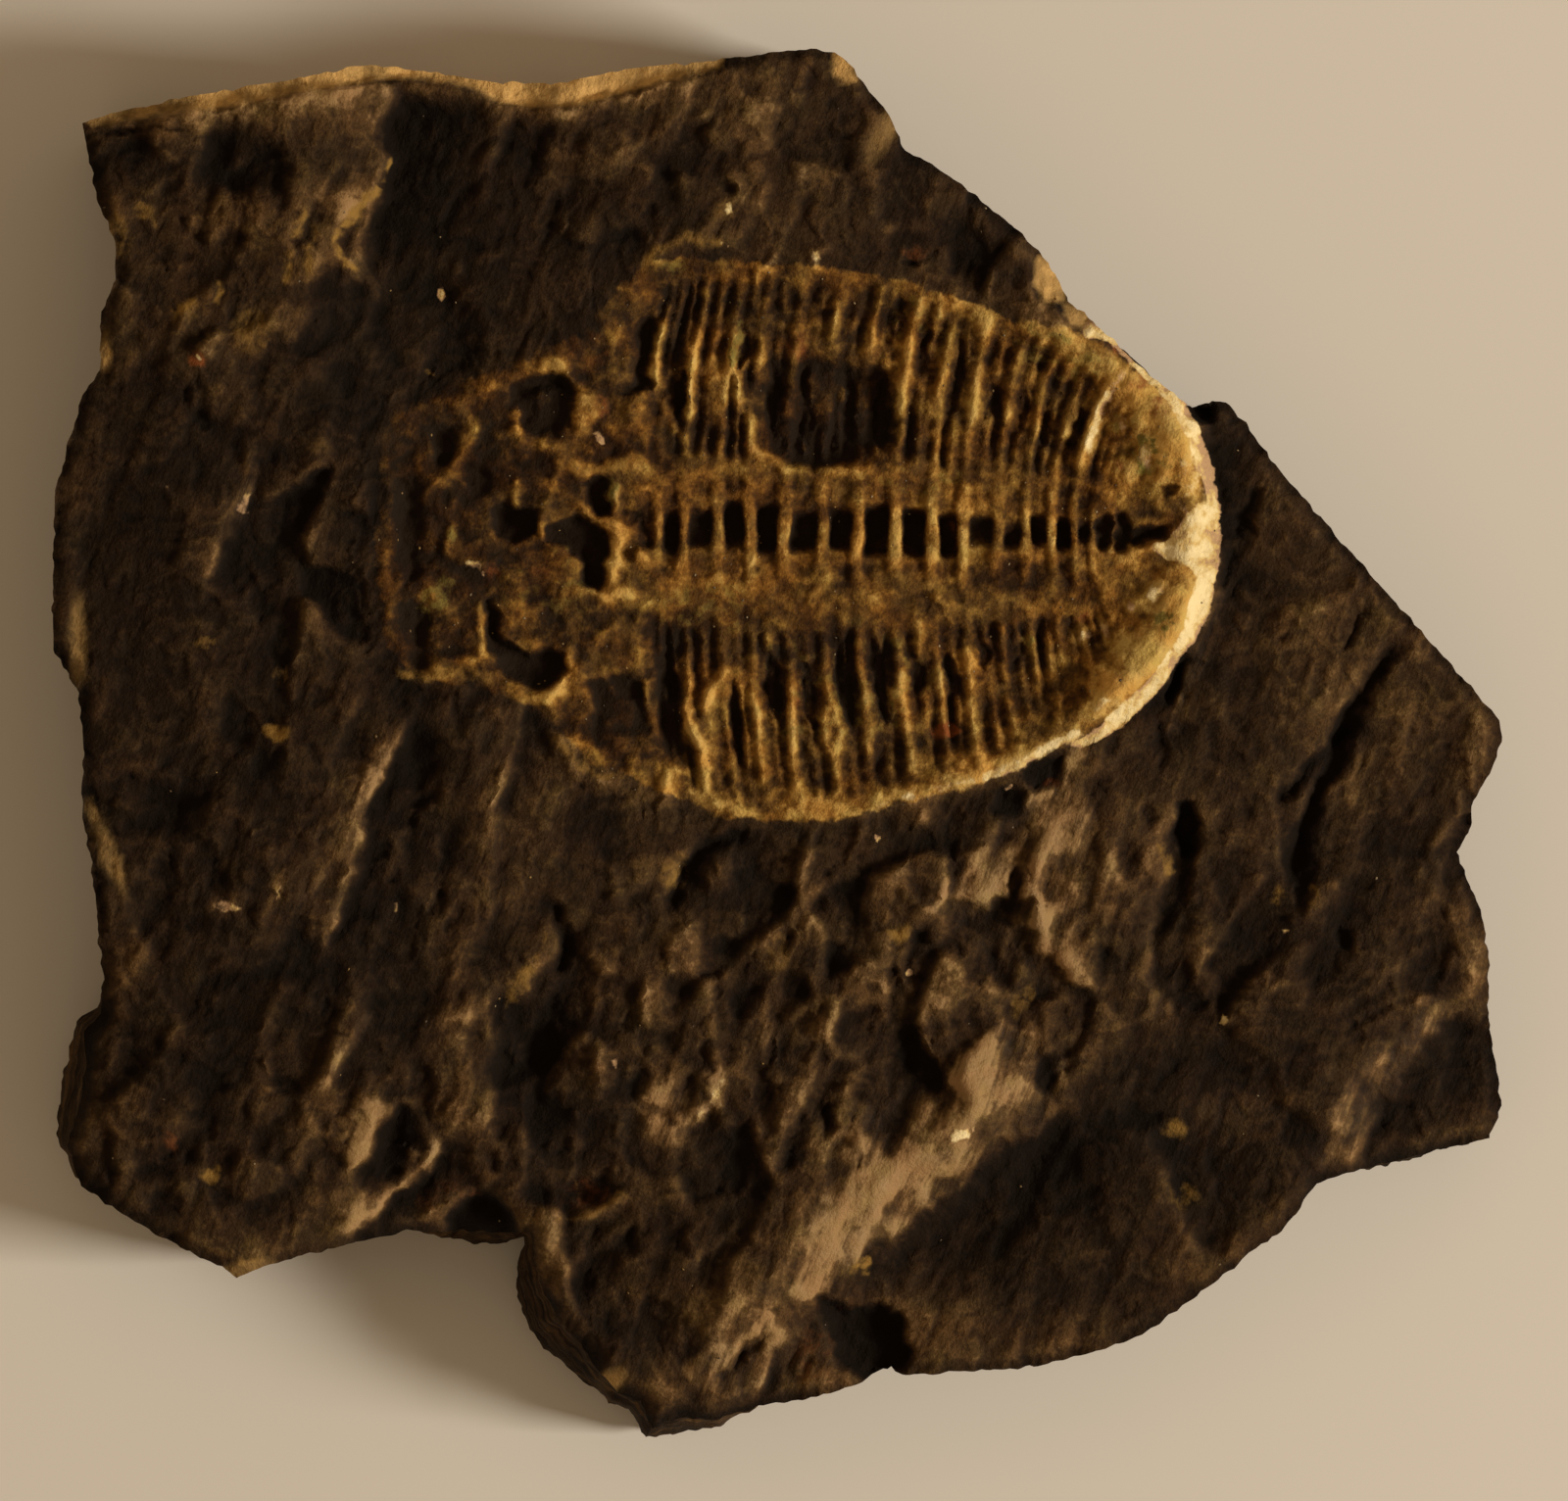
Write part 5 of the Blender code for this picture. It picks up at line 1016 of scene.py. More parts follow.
def lie(x, y):
    """Broad lie of the face, blended from its named spots."""
    total = np.zeros(x.shape)
    weight = np.zeros(x.shape)
    for spot_x, spot_y, height in LIE:
        pull = 1.0 / ((x - spot_x) ** 2 + (y - spot_y) ** 2 + LIE_BLEND ** 2) ** LIE_POWER
        total += pull * height
        weight += pull
    return total / weight


NOISE_TABLE = np.random.default_rng(SEED).permutation(256)


def gradient_noise(u, v, seed):
    """Smooth random relief between about -1 and 1."""
    cell_u = np.floor(u).astype(int)
    cell_v = np.floor(v).astype(int)
    part_u = u - cell_u
    part_v = v - cell_v
    share_u = part_u ** 3 * (part_u * (part_u * 6.0 - 15.0) + 10.0)
    share_v = part_v ** 3 * (part_v * (part_v * 6.0 - 15.0) + 10.0)
    total = np.zeros(u.shape)
    for step_u in (0, 1):
        for step_v in (0, 1):
            row = NOISE_TABLE[(cell_u + step_u + 31 * seed) & 255]
            turn = NOISE_TABLE[(row + cell_v + step_v) & 255] * (math.tau / 256.0)
            pull = np.cos(turn) * (part_u - step_u) + np.sin(turn) * (part_v - step_v)
            weight_u = share_u if step_u else 1.0 - share_u
            weight_v = share_v if step_v else 1.0 - share_v
            total += 1.5 * pull * weight_u * weight_v
    return total


def layered_noise(u, v, seed, octaves=4, share=0.5):
    """Several sizes of smooth noise on top of each other."""
    total = np.zeros(u.shape)
    amount = 1.0
    for octave in range(octaves):
        total += amount * gradient_noise(u * 2.0 ** octave, v * 2.0 ** octave, seed + octave)
        amount *= share
    return total


def streak_places(x, y, along, across):
    """Grid places in lengths of a streak along the cleavage and across it."""
    u = (x * STREAK_WAY[0] + y * STREAK_WAY[1]) / along
    v = (x * STREAK_WAY[1] - y * STREAK_WAY[0]) / across
    return u, v


def wobble(x, y):
    """Small sideways wander of the ribs, in squares."""
    places = zip(x / WOBBLE_SIZE, y / WOBBLE_SIZE)
    return WOBBLE * np.array([noise.noise(Vector((a, b, 3.0 * SEED))) for a, b in places])


def body_place(x, y):
    """Gap to the axis, the axis's half width, gap to its furrow, share of the field and count of ribs."""
    from_axis = y - (AXIS_Y + AXIS_SLOPE * (x - AXIS_START))
    half = by_x(x, AXIS_HALF)
    reach = np.where(from_axis < 0.0, AXIS_Y - by_x(x, UPPER_MARGIN), by_x(x, LOWER_MARGIN) - AXIS_Y)
    out = np.abs(from_axis) - half
    field = out / np.maximum(reach - half, 1.0)
    lean = by_x(x, RIB_LEAN) * np.clip(field, 0.0, 1.1) ** LEAN_POWER
    lean = np.where(from_axis < 0.0, lean, LOWER_LEAN * lean)
    rings = HEAD_RINGS + RING_RIDGES + TAIL_RINGS
    numbers = np.arange(len(rings)) - len(HEAD_RINGS)
    count = np.interp(x - lean + wobble(x, y), rings, numbers)
    return from_axis, half, out, field, count


def imprint(x, y, depth):
    """Hollow cast of the animal, in millimetres."""
    upper = ease((AXIS_Y - y) / AXIS_TIP + 0.5)
    sink = depth - by_x(x, LIP_BAND) * (1.0 - (1.0 - UPPER_LIP) * upper)
    within = ease(sink / by_x(x, FOSSIL_EDGE))
    from_axis, half, out, field, count = body_place(x, y)
    segments = len(RING_RIDGES) - 1
    behind_head = ease((x - NECK[0]) / NECK[1])
    thorax = behind_head * ease((segments + 0.5 - count) / SEGMENT_FADE)
    tail = ease((count - segments + 0.2) / SEGMENT_FADE)

    ring = np.floor(count)
    change = gradient_noise(ring * 1.7 + 0.4, np.full(x.shape, 5.3), PATTERN["ring depth"])
    shift = gradient_noise(ring * 1.3 + 0.4, np.full(x.shape, 2.4), PATTERN["ring place"])
    shift = RING_SHIFT * shift
    middle = np.abs(from_axis)
    uneven = gradient_noise(np.round(count) * 1.7, from_axis / 30.0, PATTERN["ring walls"])
    wall = np.abs(np.sin(math.pi * count)) - (RING_EDGE + RING_EDGE_CHANGE * uneven)
    ring_hollow = ease(wall / RING_SOFT) * (1.0 + 0.5 * change)
    reach = by_x(x, RING_REACH) * (1.0 + RING_CHANGE * change)
    deep = ease((reach - np.abs(from_axis - shift)) / DEEP_SOFT)
    foot = RING_FOOT * ease((FOOT_REACH - middle) / FOOT_SOFT)
    axis = AXIS_DEPTH * np.exp(-((from_axis / half) ** 2)) + thorax * ring_hollow * (RING_DEPTH * deep + foot)
    axis *= ease((AXIS_END - x) / AXIS_TIP)

    band = np.where(from_axis < 0.0, by_x(x, UPPER_BAND), by_x(x, LOWER_BAND))
    ends = ease((1.0 - field) / RIB_END)
    start, fade, start_x, fade_x, calm = LOWER_CALM
    ends *= 1.0 - calm * ease((field - start) / fade) * ease((x - start_x) / fade_x) * (from_axis > 0.0)
    in_field = ends * np.maximum(ease((out - band) / BAND_SOFT), BAND_SHARE * ease(out / BAND_FOOT))
    place = np.sign(from_axis) * 7.0 + field * 2.5
    uneven = 1.0 + RIB_CHANGE * gradient_noise(2.0 * count, place, PATTERN["ribs"])
    patches = gradient_noise(x / RIB_PATCH, y / RIB_PATCH, PATTERN["rib patches"])
    uneven = uneven * (0.8 + 0.7 * patches)
    first = ease((np.abs(np.sin(math.pi * count)) - RIB_EDGE) / RIB_SOFT)
    second = ease((np.abs(np.cos(math.pi * count)) - SECOND_EDGE) / SECOND_SOFT)
    second = 1.0 - SECOND_RIB * (1.0 - second)
    rib_hollow = np.minimum(first, second) * uneven
    strength = RIB_DEPTH * thorax + TAIL_RIB_DEPTH * tail
    hollow = np.sin(math.pi * np.clip(field, 0.0, 1.0))
    fields = in_field * strength * rib_hollow + FIELD_DEPTH * hollow * (1.0 - TAIL_CALM * tail)

    gap = np.abs(sink - LIP_CREST)
    lip_side = np.where(sink > LIP_CREST, LIP_BACK, LIP_WIDTH)
    part = np.zeros(x.shape)
    for centre_x, centre_y, reach in LIP_PARTS:
        distance = np.hypot(x - centre_x, y - centre_y)
        part = np.maximum(part, ease(LIP_FADE - distance / reach))
    lip = LIP_HEIGHT * part * np.exp(-((gap / lip_side) ** 2))
    cut = within * (by_x(x, BODY_DEPTH) + behind_head * (axis + fields))
    return lip - cut


def streaks(x, y):
    """Streaky cleavage and broad lumps of the broken face."""
    along, across = streak_places(x, y, STREAK_ALONG, STREAK_ACROSS)
    fine = [noise.noise(Vector((a, b, SEED))) for a, b in zip(across, along)]
    broad = [noise.noise(Vector((a / LUMP_SIZE, b / LUMP_SIZE, -SEED))) for a, b in zip(x, y)]
    return STREAK_HEIGHT * np.array(fine) + LUMP_HEIGHT * np.array(broad)


def slant(x, y, column):
    """How much the slanting stretches of the side add at a place: their inset or their fall."""
    total = np.zeros(x.shape)
    for row in SLANTS:
        distance = np.hypot(x - row[0], y - row[1])
        total += row[column] * np.exp(-((distance / row[2]) ** 2))
    return total


def terraces(swell):
    """Sawtooth between the whole levels of a swell: a quick rise, then a slow fall."""
    level = np.floor(swell)
    return level + ease((swell - level) / TERRACE_RISE) - swell


def flakes(u, v, seed):
    """Small tilted facets, each a random plane over its own cell, with broken edges between them."""
    cell_u = np.floor(u).astype(int)
    cell_v = np.floor(v).astype(int)
    nearest = np.full(u.shape, 1e9)
    height = np.zeros(u.shape)
    for step_u in (-1, 0, 1):
        for step_v in (-1, 0, 1):
            at_u = cell_u + step_u
            at_v = cell_v + step_v
            first = NOISE_TABLE[(NOISE_TABLE[(at_u + 31 * seed) & 255] + at_v) & 255]
            second = NOISE_TABLE[(first + 73) & 255]
            third = NOISE_TABLE[(second + 151) & 255]
            away_u = u - at_u - FLAKE_MARGIN - FLAKE_SPREAD * first / 255.0
            away_v = v - at_v - FLAKE_MARGIN - FLAKE_SPREAD * second / 255.0
            gap = away_u ** 2 + away_v ** 2
            plane = (third / 255.0 - 0.5) * FLAKE_RISE
            plane = plane + away_u * (second / 255.0 - 0.5) * FLAKE_TILT[0]
            plane = plane + away_v * (first / 255.0 - 0.5) * FLAKE_TILT[1]
            height = np.where(gap < nearest, plane, height)
            nearest = np.minimum(gap, nearest)
    return height


def flaking(x, y, table):
    """Flakes of several sizes, strongest where the stone is knobbly."""
    knobby = stroke_mask(x, y, (), KNOBS)
    rough = SMOOTH_SHARE + (1.0 - SMOOTH_SHARE) * knobby
    height = np.zeros(x.shape)
    for seed, along, across, size in table:
        u, v = streak_places(x, y, along, across)
        bend_u = FLAKE_BEND * layered_noise(u, v, PATTERN["flakes bent across"] + seed, 2)
        bend_v = FLAKE_BEND * layered_noise(u, v, PATTERN["flakes bent down"] + seed, 2)
        height += size * rough * flakes(u + bend_u, v + bend_v, PATTERN["flakes"] + seed)
    return height


def fine_relief(x, y, fossil):
    """Cleavage terraces, flakes, fibres and grain of the stone, and the crust in the imprint."""
    u, v = streak_places(x, y, TERRACE_ALONG, TERRACE_ACROSS)
    swell = layered_noise(u, v, PATTERN["terraces"], 3, 0.45)
    stone = np.zeros(x.shape)
    for layers, height in TERRACES:
        stone += height * terraces(layers * swell)
    u, v = streak_places(x, y, FIBRE_ALONG, FIBRE_ACROSS)
    stone += FIBRE_HEIGHT * layered_noise(u, v, PATTERN["fibres"], 3, 0.6)
    pebbles = layered_noise(x / PEBBLE_SIZE, y / PEBBLE_SIZE, PATTERN["pebbles"], 3, 0.6)
    stone += PEBBLE_HEIGHT * pebbles
    stone += flaking(x, y, FINE_FLAKES)
    crust = CRUST_HEIGHT * layered_noise(x / CRUST_SIZE, y / CRUST_SIZE, PATTERN["crust"], 3, 0.6)
    crumple = layered_noise(x / CRUMPLE_SIZE, y / CRUMPLE_SIZE, PATTERN["crumple"], 3, 0.6)
    crust += CRUMPLE_HEIGHT * crumple
    head = ease((NECK[0] + NECK[1] - x) / NECK[1])
    web = 0.4 - np.abs(layered_noise(x / WEB_SIZE, y / WEB_SIZE, PATTERN["web"], 3, 0.5))
    crust += head * WEB_HEIGHT * web
    return stone * (1.0 - CRUST_COVER * fossil) + crust * fossil


def soften(field, reach):
    """A map blurred by a box of this half width, three times over."""
    for _ in range(3):
        for axis in (0, 1):
            padding = [(0, 0), (0, 0)]
            padding[axis] = (reach + 1, reach)
            summed = np.cumsum(np.pad(field, padding, mode="edge"), axis=axis)
            width = 2 * reach + 1
            size = field.shape[axis]
            high = np.take(summed, np.arange(width, width + size), axis=axis)
            low = np.take(summed, np.arange(size), axis=axis)
            field = (high - low) / width
    return field


class ReliefMap:
    """The face's height and the masks of its colours, on a square map."""

    def __init__(self):
        columns, rows = MAP_SIZE
        across = MAP_CORNER[0] + MAP_PITCH * np.arange(columns)
        down = MAP_CORNER[1] + MAP_PITCH * np.arange(rows)
        grid_x, grid_y = np.meshgrid(across, down)
        x = grid_x.ravel()
        y = grid_y.ravel()
        push, size = WARP
        x_bent = x + push * layered_noise(x / size, y / size, PATTERN["warp across"])
        y_bent = y + push * layered_noise(x / size, y / size, PATTERN["warp down"])
        x_rib = x + RIB_WARP * (x_bent - x)
        y_rib = y + RIB_WARP * (y_bent - y)
        depth = depth_inside(x, y, FOSSIL_OUTLINE, FOSSIL_BAND)
        depth += OUTLINE_WARP * (x_bent - x)
        fossil = ease(depth / CALM_EDGE + 0.6)
        edge = depth_inside(x, y, OUTLINE, EDGE_BAND)

        height = lie(x, y) + streaks(x, y) * (1.0 - FOSSIL_CALM * fossil)
        for table in (LEDGES, SMALL_LEDGES):
            height += ledges(x_bent, y_bent, table)
        for table in (RIDGES, SMALL_RIDGES):
            height += lines(x_bent, y_bent, table, RIDGE_SHARE)
        height += lines(x_rib, y_rib, RIBS, RIB_SHARE)
        for table in (FURROWS, SMALL_FURROWS):
            height += lines(x_bent, y_bent, table, -1.0)
        for table in (PITS, POOLS):
            height += pits(x_bent, y_bent, table)
        height += holes(x_bent, y_bent, HOLES)
        height += imprint(x, y, depth) + fine_relief(x, y, fossil)
        fall = EDGE_FALL + slant(x, y, FALL)
        reach = EDGE_REACH + SLANT_REACH * slant(x, y, INSET)
        height -= fall * (1.0 - ease(edge / reach)) ** EDGE_POWER

        worn = soften(flaking(x, y, BIG_FLAKES).reshape(grid_x.shape), FLAKE_WEAR)
        height += worn.ravel() * (1.0 - FLAKE_COVER * fossil)

        face = height.reshape(grid_x.shape)
        near_mean, far_mean, broad_mean = [soften(face, reach) for reach in MEAN_REACHES]
        crest = CREST_SHARES[0] * (face - near_mean) + CREST_SHARES[1] * (near_mean - far_mean)
        bare = by_x(x, BARE_MARGIN) * ease((AXIS_Y - y) / AXIS_TIP)
        # Raised ribs are coloured golden, partly the crust's own colour and partly a painted highlight on
        # their crests
        rib_colour = [(width, min(1.0, RIB_COLOUR * high), points) for width, high, points in RIBS]
        masks = {
            "crest": np.clip(crest / CREST_HEIGHT, -1.0, 1.0),
            "swell": np.clip((near_mean - broad_mean) / SWELL_HEIGHT, -1.0, 1.0),
            "fossil": ease((depth - bare) / COVER_FADE + 0.5),
            "cream": np.maximum(
                stroke_mask(x_bent, y_bent, (), CREAM_SPOTS),
                stroke_mask(x_rib, y_rib, CREAM_STROKES, (), CREAM_FACETS),
            ),
            "pale": stroke_mask(x_bent, y_bent, HIGHLIGHT_AND_PALE_STROKES, HIGHLIGHT_AND_PALE_SPOTS, HIGHLIGHT_AND_PALE_FACETS),
            "warm": np.maximum(
                stroke_mask(x_rib, y_rib, rib_colour, ()), stroke_mask(x_bent, y_bent, (), WARM_SPOTS)
            ),
            "olive": stroke_mask(x_bent, y_bent, (), OLIVE_SPOTS),
            "ochre": stroke_mask(x_bent, y_bent, OCHRE_STROKES, OCHRE_SPOTS),
            "rust": stroke_mask(x_bent, y_bent, (), RUST_SPOTS),
            "soot": stroke_mask(x_bent, y_bent, (), SHADE_AND_DARK_STONE_SPOTS),
            "rind": stroke_mask(x, y, (), RIND_SPOTS, RIND_FACETS),
        }
        self.fields = {"height": face}
        for name, mask in masks.items():
            self.fields[name] = mask.reshape(grid_x.shape)

    def at(self, name, x, y):
        """Value of one field at places on the grid, straight between the map's own places."""
        field = self.fields[name]
        column = np.clip((x - MAP_CORNER[0]) / MAP_PITCH, 0.0, MAP_SIZE[0] - 1.001)
        row = np.clip((y - MAP_CORNER[1]) / MAP_PITCH, 0.0, MAP_SIZE[1] - 1.001)
        left = column.astype(int)
        top = row.astype(int)
        across = column - left
        down = row - top
        upper = field[top, left] * (1.0 - across) + field[top, left + 1] * across
        lower = field[top + 1, left] * (1.0 - across) + field[top + 1, left + 1] * across
        return upper * (1.0 - down) + lower * down


def broken_outline(spacing):
    """The outline with its long stretches parted and crumbled a little."""
    places = []
    for (ax, ay), (bx, by) in zip(OUTLINE, OUTLINE[1:] + OUTLINE[:1]):
        length = math.hypot(bx - ax, by - ay)
        parts = max(1, round(length / spacing))
        for part in range(2 * parts):
            share = part / (2 * parts)
            x = ax + share * (bx - ax)
            y = ay + share * (by - ay)
            lump = noise.noise(Vector((x / EDGE_LUMP, y / EDGE_LUMP, SEED)))
            push = EDGE_CRUMBLE * lump * min(1.0, 8.0 * share * (1.0 - share))
            places.append((x - push * (by - ay) / length, y + push * (bx - ax) / length))
    return np.array(places)


def outward(places):
    """Directions pointing out of a clockwise outline, smoothed along it."""
    tangent = np.roll(places, -NORMAL_STEPS, axis=0) - np.roll(places, NORMAL_STEPS, axis=0)
    normal = np.column_stack((tangent[:, 1], -tangent[:, 0]))
    return normal / np.linalg.norm(normal, axis=1)[:, None]


def face_places(edge_ring):
    """Places on the face inside its edge ring, closer together on the fossil."""
    found = []
    picker = np.random.default_rng(SEED)
    border = tuple(map(tuple, edge_ring))
    for spacing, on_fossil in ((FOSSIL_SPACING, True), (STONE_SPACING, False)):
        rows = np.arange(edge_ring[:, 1].min(), edge_ring[:, 1].max(), spacing * ROW_STEP)
        columns = np.arange(edge_ring[:, 0].min(), edge_ring[:, 0].max(), spacing)
        grid_x, grid_y = np.meshgrid(columns, rows)
        grid_x = grid_x + spacing * 0.5 * (np.arange(len(rows)) % 2)[:, None]
        x = grid_x.ravel() + picker.uniform(-JITTER, JITTER, grid_x.size) * spacing
        y = grid_y.ravel() + picker.uniform(-JITTER, JITTER, grid_y.size) * spacing
        fossil = depth_inside(x, y, FOSSIL_OUTLINE, 2.0 * FINE_MARGIN) > -FINE_MARGIN
        keep = (fossil == on_fossil) & (depth_inside(x, y, border, 2.0 * spacing) > spacing * BORDER_GAP)
        found.append(np.column_stack((x[keep], y[keep])))
    return np.vstack(found)


def split_in_four(places, triangles):
    """Splits each triangle in four. Returns the places, the triangles and the middle place of each side."""
    sides = np.sort(triangles[:, [[0, 1], [1, 2], [2, 0]]].reshape(-1, 2), axis=1)
    pairs, found = np.unique(sides, axis=0, return_inverse=True)
    middles = len(places) + found.reshape(-1, 3)
    places = np.vstack((places, places[pairs].mean(axis=1)))
    a, b, c = triangles.T
    ab, bc, ca = middles.T
    corners = ((a, ab, ca), (ab, b, bc), (ca, bc, c), (ab, bc, ca))
    triangles = np.vstack([np.column_stack(corner) for corner in corners])
    between = {tuple(pair): len(places) - len(pairs) + i for i, pair in enumerate(pairs.tolist())}
    return places, triangles, between


def world(x, y, height):
    """Places on the drawing grid and heights in millimetres, as metres from the slab's middle."""
    across = (x - GRID_CENTRE[0]) * SQUARE
    up = (GRID_CENTRE[1] - y) * SQUARE
    return np.column_stack((across, up, height * MILLIMETRE))


def grid_place(corners):
    """Places on the drawing grid of corners in metres, with their heights in millimetres."""
    x = corners[:, 0] / SQUARE + GRID_CENTRE[0]
    y = GRID_CENTRE[1] - corners[:, 1] / SQUARE
    return x, y, corners[:, 2] / MILLIMETRE


def fine_slab(relief):
    """The slab as one closed fine mesh: the front face, the broken side in layers, and the flat back."""
    outline = broken_outline(EDGE_SPACING)
    normals = outward(outline)
    outline = outline + normals * EDGE_GROWTH
    inset = EDGE_INSET + slant(outline[:, 0], outline[:, 1], INSET)
    edge_ring = outline - normals * inset[:, None]
    count = len(outline)
    coarse_ring = edge_ring[::2]
    half = len(coarse_ring)
    flat = np.vstack((coarse_ring, face_places(coarse_ring)))
    loop = [(i, (i + 1) % half) for i in range(half)]
    _, _, triangles, sources, _, _ = delaunay_2d_cdt(
        [Vector(place) for place in flat], loop, [list(range(half))], 1, 1e-7
    )
    if len(sources) != len(flat):
        raise ValueError("the front edge crosses itself")
    origin = np.array([source[0] for source in sources])
    flat, triangles, between = split_in_four(flat, origin[np.array(triangles)])
    ring = np.empty(count, dtype=int)
    ring[::2] = np.arange(half)
    ring[1::2] = [between[(min(pair), max(pair))] for pair in loop]
    flat[ring] = edge_ring
    heights = relief.at("height", flat[:, 0], flat[:, 1])
    heights = np.minimum(heights, CAD_HIGH.z / MILLIMETRE)

    levels = np.linspace(0.0, 1.0, SIDE_LEVELS)[:-1]
    shares, depths = np.array(SIDE_LAYERS, dtype=float).T
    parts = [world(flat[:, 0], flat[:, 1], heights)]
    for level in levels:
        slope = ease((level - SLANT_START) / (1.0 - SLANT_START))
        lumps = gradient_noise(*(outline.T / LAYER_LUMP), round(level * LUMP_PATTERNS))
        chips = gradient_noise(*(outline.T / LAYER_CHIP), round(level * CHIP_PATTERNS))
        lean = slope - FOOT_GROWTH * (1.0 - slope)
        back = np.interp(level, shares, depths) + lean * (inset - EDGE_INSET)
        back = back + LAYER_CRUMBLE * (LAYER_DEPTH + lumps + CHIP_SHARE * chips)
        places = outline - normals * back[:, None]
        parts.append(world(places[:, 0], places[:, 1], heights[ring] * level))
    rings = [len(flat) + count * i + np.arange(count) for i in range(len(levels))] + [ring]
    faces = [triangles]
    for low, high in zip(rings[:-1], rings[1:]):
        low_next = np.roll(low, -1)
        high_next = np.roll(high, -1)
        faces.append(np.column_stack((low, high, high_next)))
        faces.append(np.column_stack((low, high_next, low_next)))
    corners = np.vstack(parts)
    data = bpy.data.meshes.new("shale plate")
    polygons = np.vstack(faces).tolist() + [rings[0].tolist()]
    data.from_pydata(corners.tolist(), [], polygons)
    mesh = bmesh.new()
    mesh.from_mesh(data)
    bmesh.ops.recalc_face_normals(mesh, faces=mesh.faces[:])
    mesh.to_mesh(data)
    mesh.free()
    loose = np.zeros(len(corners))
    loose[rings[1][0]:] = 1.0
    write_mask(data, "broken", loose)
    return data


def write_mask(data, name, values):
    """Stores a value for each corner of a mesh."""
    data.attributes.new(name, "FLOAT", "POINT").data.foreach_set("value", values.astype(np.float32))


def read_mask(data, name):
    """The values that a mesh stores for its corners."""
    values = np.empty(len(data.vertices), dtype=np.float32)
    data.attributes[name].data.foreach_get("value", values)
    return values


class Value:
    """A socket in a node tree, for writing its maths as plain expressions."""

    def __init__(self, maker, socket):
        self.maker = maker
        self.socket = socket

    def maths(self, operation, first, second, clamp=False):
        settings = {"operation": operation, "use_clamp": clamp}
        return self.maker.node("ShaderNodeMath", settings, {0: first, 1: second})

    def __add__(self, other):
        return self.maths("ADD", self, other)

    def __mul__(self, other):
        return self.maths("MULTIPLY", self, other)

    def __sub__(self, other):
        return self.maths("SUBTRACT", self, other)

    def __rsub__(self, other):
        return self.maths("SUBTRACT", other, self)

    __radd__ = __add__
    __rmul__ = __mul__

    def held(self):
        """The value kept between 0 and 1."""
        return self.maths("ADD", self, 0.0, clamp=True)

    def spread(self, low, high):
        """0 at low and below, 1 at high and above."""
        settings = {"interpolation_type": "SMOOTHSTEP"}
        return self.maker.node("ShaderNodeMapRange", settings, {0: self, 1: low, 2: high})


class Maker:
    """Adds nodes to a tree."""

    def __init__(self, tree):
        self.tree = tree

    def node(self, kind, settings=None, values=None, output=0):
        """A node of this type with its settings and its sockets' values or links, as one of its outputs."""
        made = self.tree.nodes.new(kind)
        for name, value in (settings or {}).items():
            if name == "stops":
                self.set_stops(made.color_ramp, value)
            else:
                setattr(made, name, value)
        for name, value in (values or {}).items():
            if isinstance(value, Value):
                self.tree.links.new(value.socket, made.inputs[name])
            else:
                made.inputs[name].default_value = value
        return Value(self, made.outputs[output]) if len(made.outputs) else made

    def set_stops(self, ramp, stops):
        """Even stops of these colours on a ramp."""
        while len(ramp.elements) < len(stops):
            ramp.elements.new(1.0)
        for number, (element, shade) in enumerate(zip(ramp.elements, stops)):
            element.position = number / (len(stops) - 1)
            element.color = colour(shade)

    def ramp(self, share, stops):
        """The colour at this share of a row of colours."""
        return self.node("ShaderNodeValToRGB", {"stops": stops}, {0: share})

    def attribute(self, name):
        """A mask that the mesh carries."""
        return self.node("ShaderNodeAttribute", {"attribute_name": name}, output="Fac")

    def noise(self, place, size, detail=3.0, roughness=0.55):
        """Noise with lumps of about this size, in metres."""
        values = {"Vector": place, "Scale": 1.0 / size, "Detail": detail, "Roughness": roughness}
        return self.node("ShaderNodeTexNoise", None, values)

    def patches(self, place, size, detail=3.0, roughness=0.55):
        """Patches between 0 and 1 of about this size, in metres."""
        return self.noise(place, size, detail, roughness).spread(0.34, 0.66)

    def blend(self, first, second, share, way="MIX"):
        """One colour over another."""
        values = {0: share, 6: first, 7: second}
        return self.node("ShaderNodeMix", {"data_type": "RGBA", "blend_type": way}, values, output=2)

    def surface(self, values):
        """The shader with these values, as the surface of the material."""
        shader = self.node("ShaderNodeBsdfPrincipled", None, values)
        self.node("ShaderNodeOutputMaterial", None, {"Surface": shader})

    def stored(self, name):
        """A value that the mesh carries, in a geometry tree."""
        return self.node("GeometryNodeInputNamedAttribute", {"data_type": "FLOAT"}, {"Name": name})

    def vector(self, operation, first, values):
        """Vector maths on a vector and the values of the other sockets."""
        return self.node("ShaderNodeVectorMath", {"operation": operation}, {0: first, **values})

    def plain_mesh(self, geometry, material):
        """Ends a geometry tree in a plain mesh of this material."""
        whole = self.node("GeometryNodeRealizeInstances", None, {"Geometry": geometry})
        dressed = self.node("GeometryNodeSetMaterial", None, {"Geometry": whole, "Material": material})
        self.node("NodeGroupOutput", None, {"Geometry": dressed})


def colour(value):
    """A colour property as the four numbers of a socket."""
    return (*value, 1.0)


def new_material(name):
    """An empty material and its maker."""
    material = bpy.data.materials.new(name)
    material.use_nodes = True
    material.node_tree.nodes.clear()
    return material, Maker(material.node_tree)


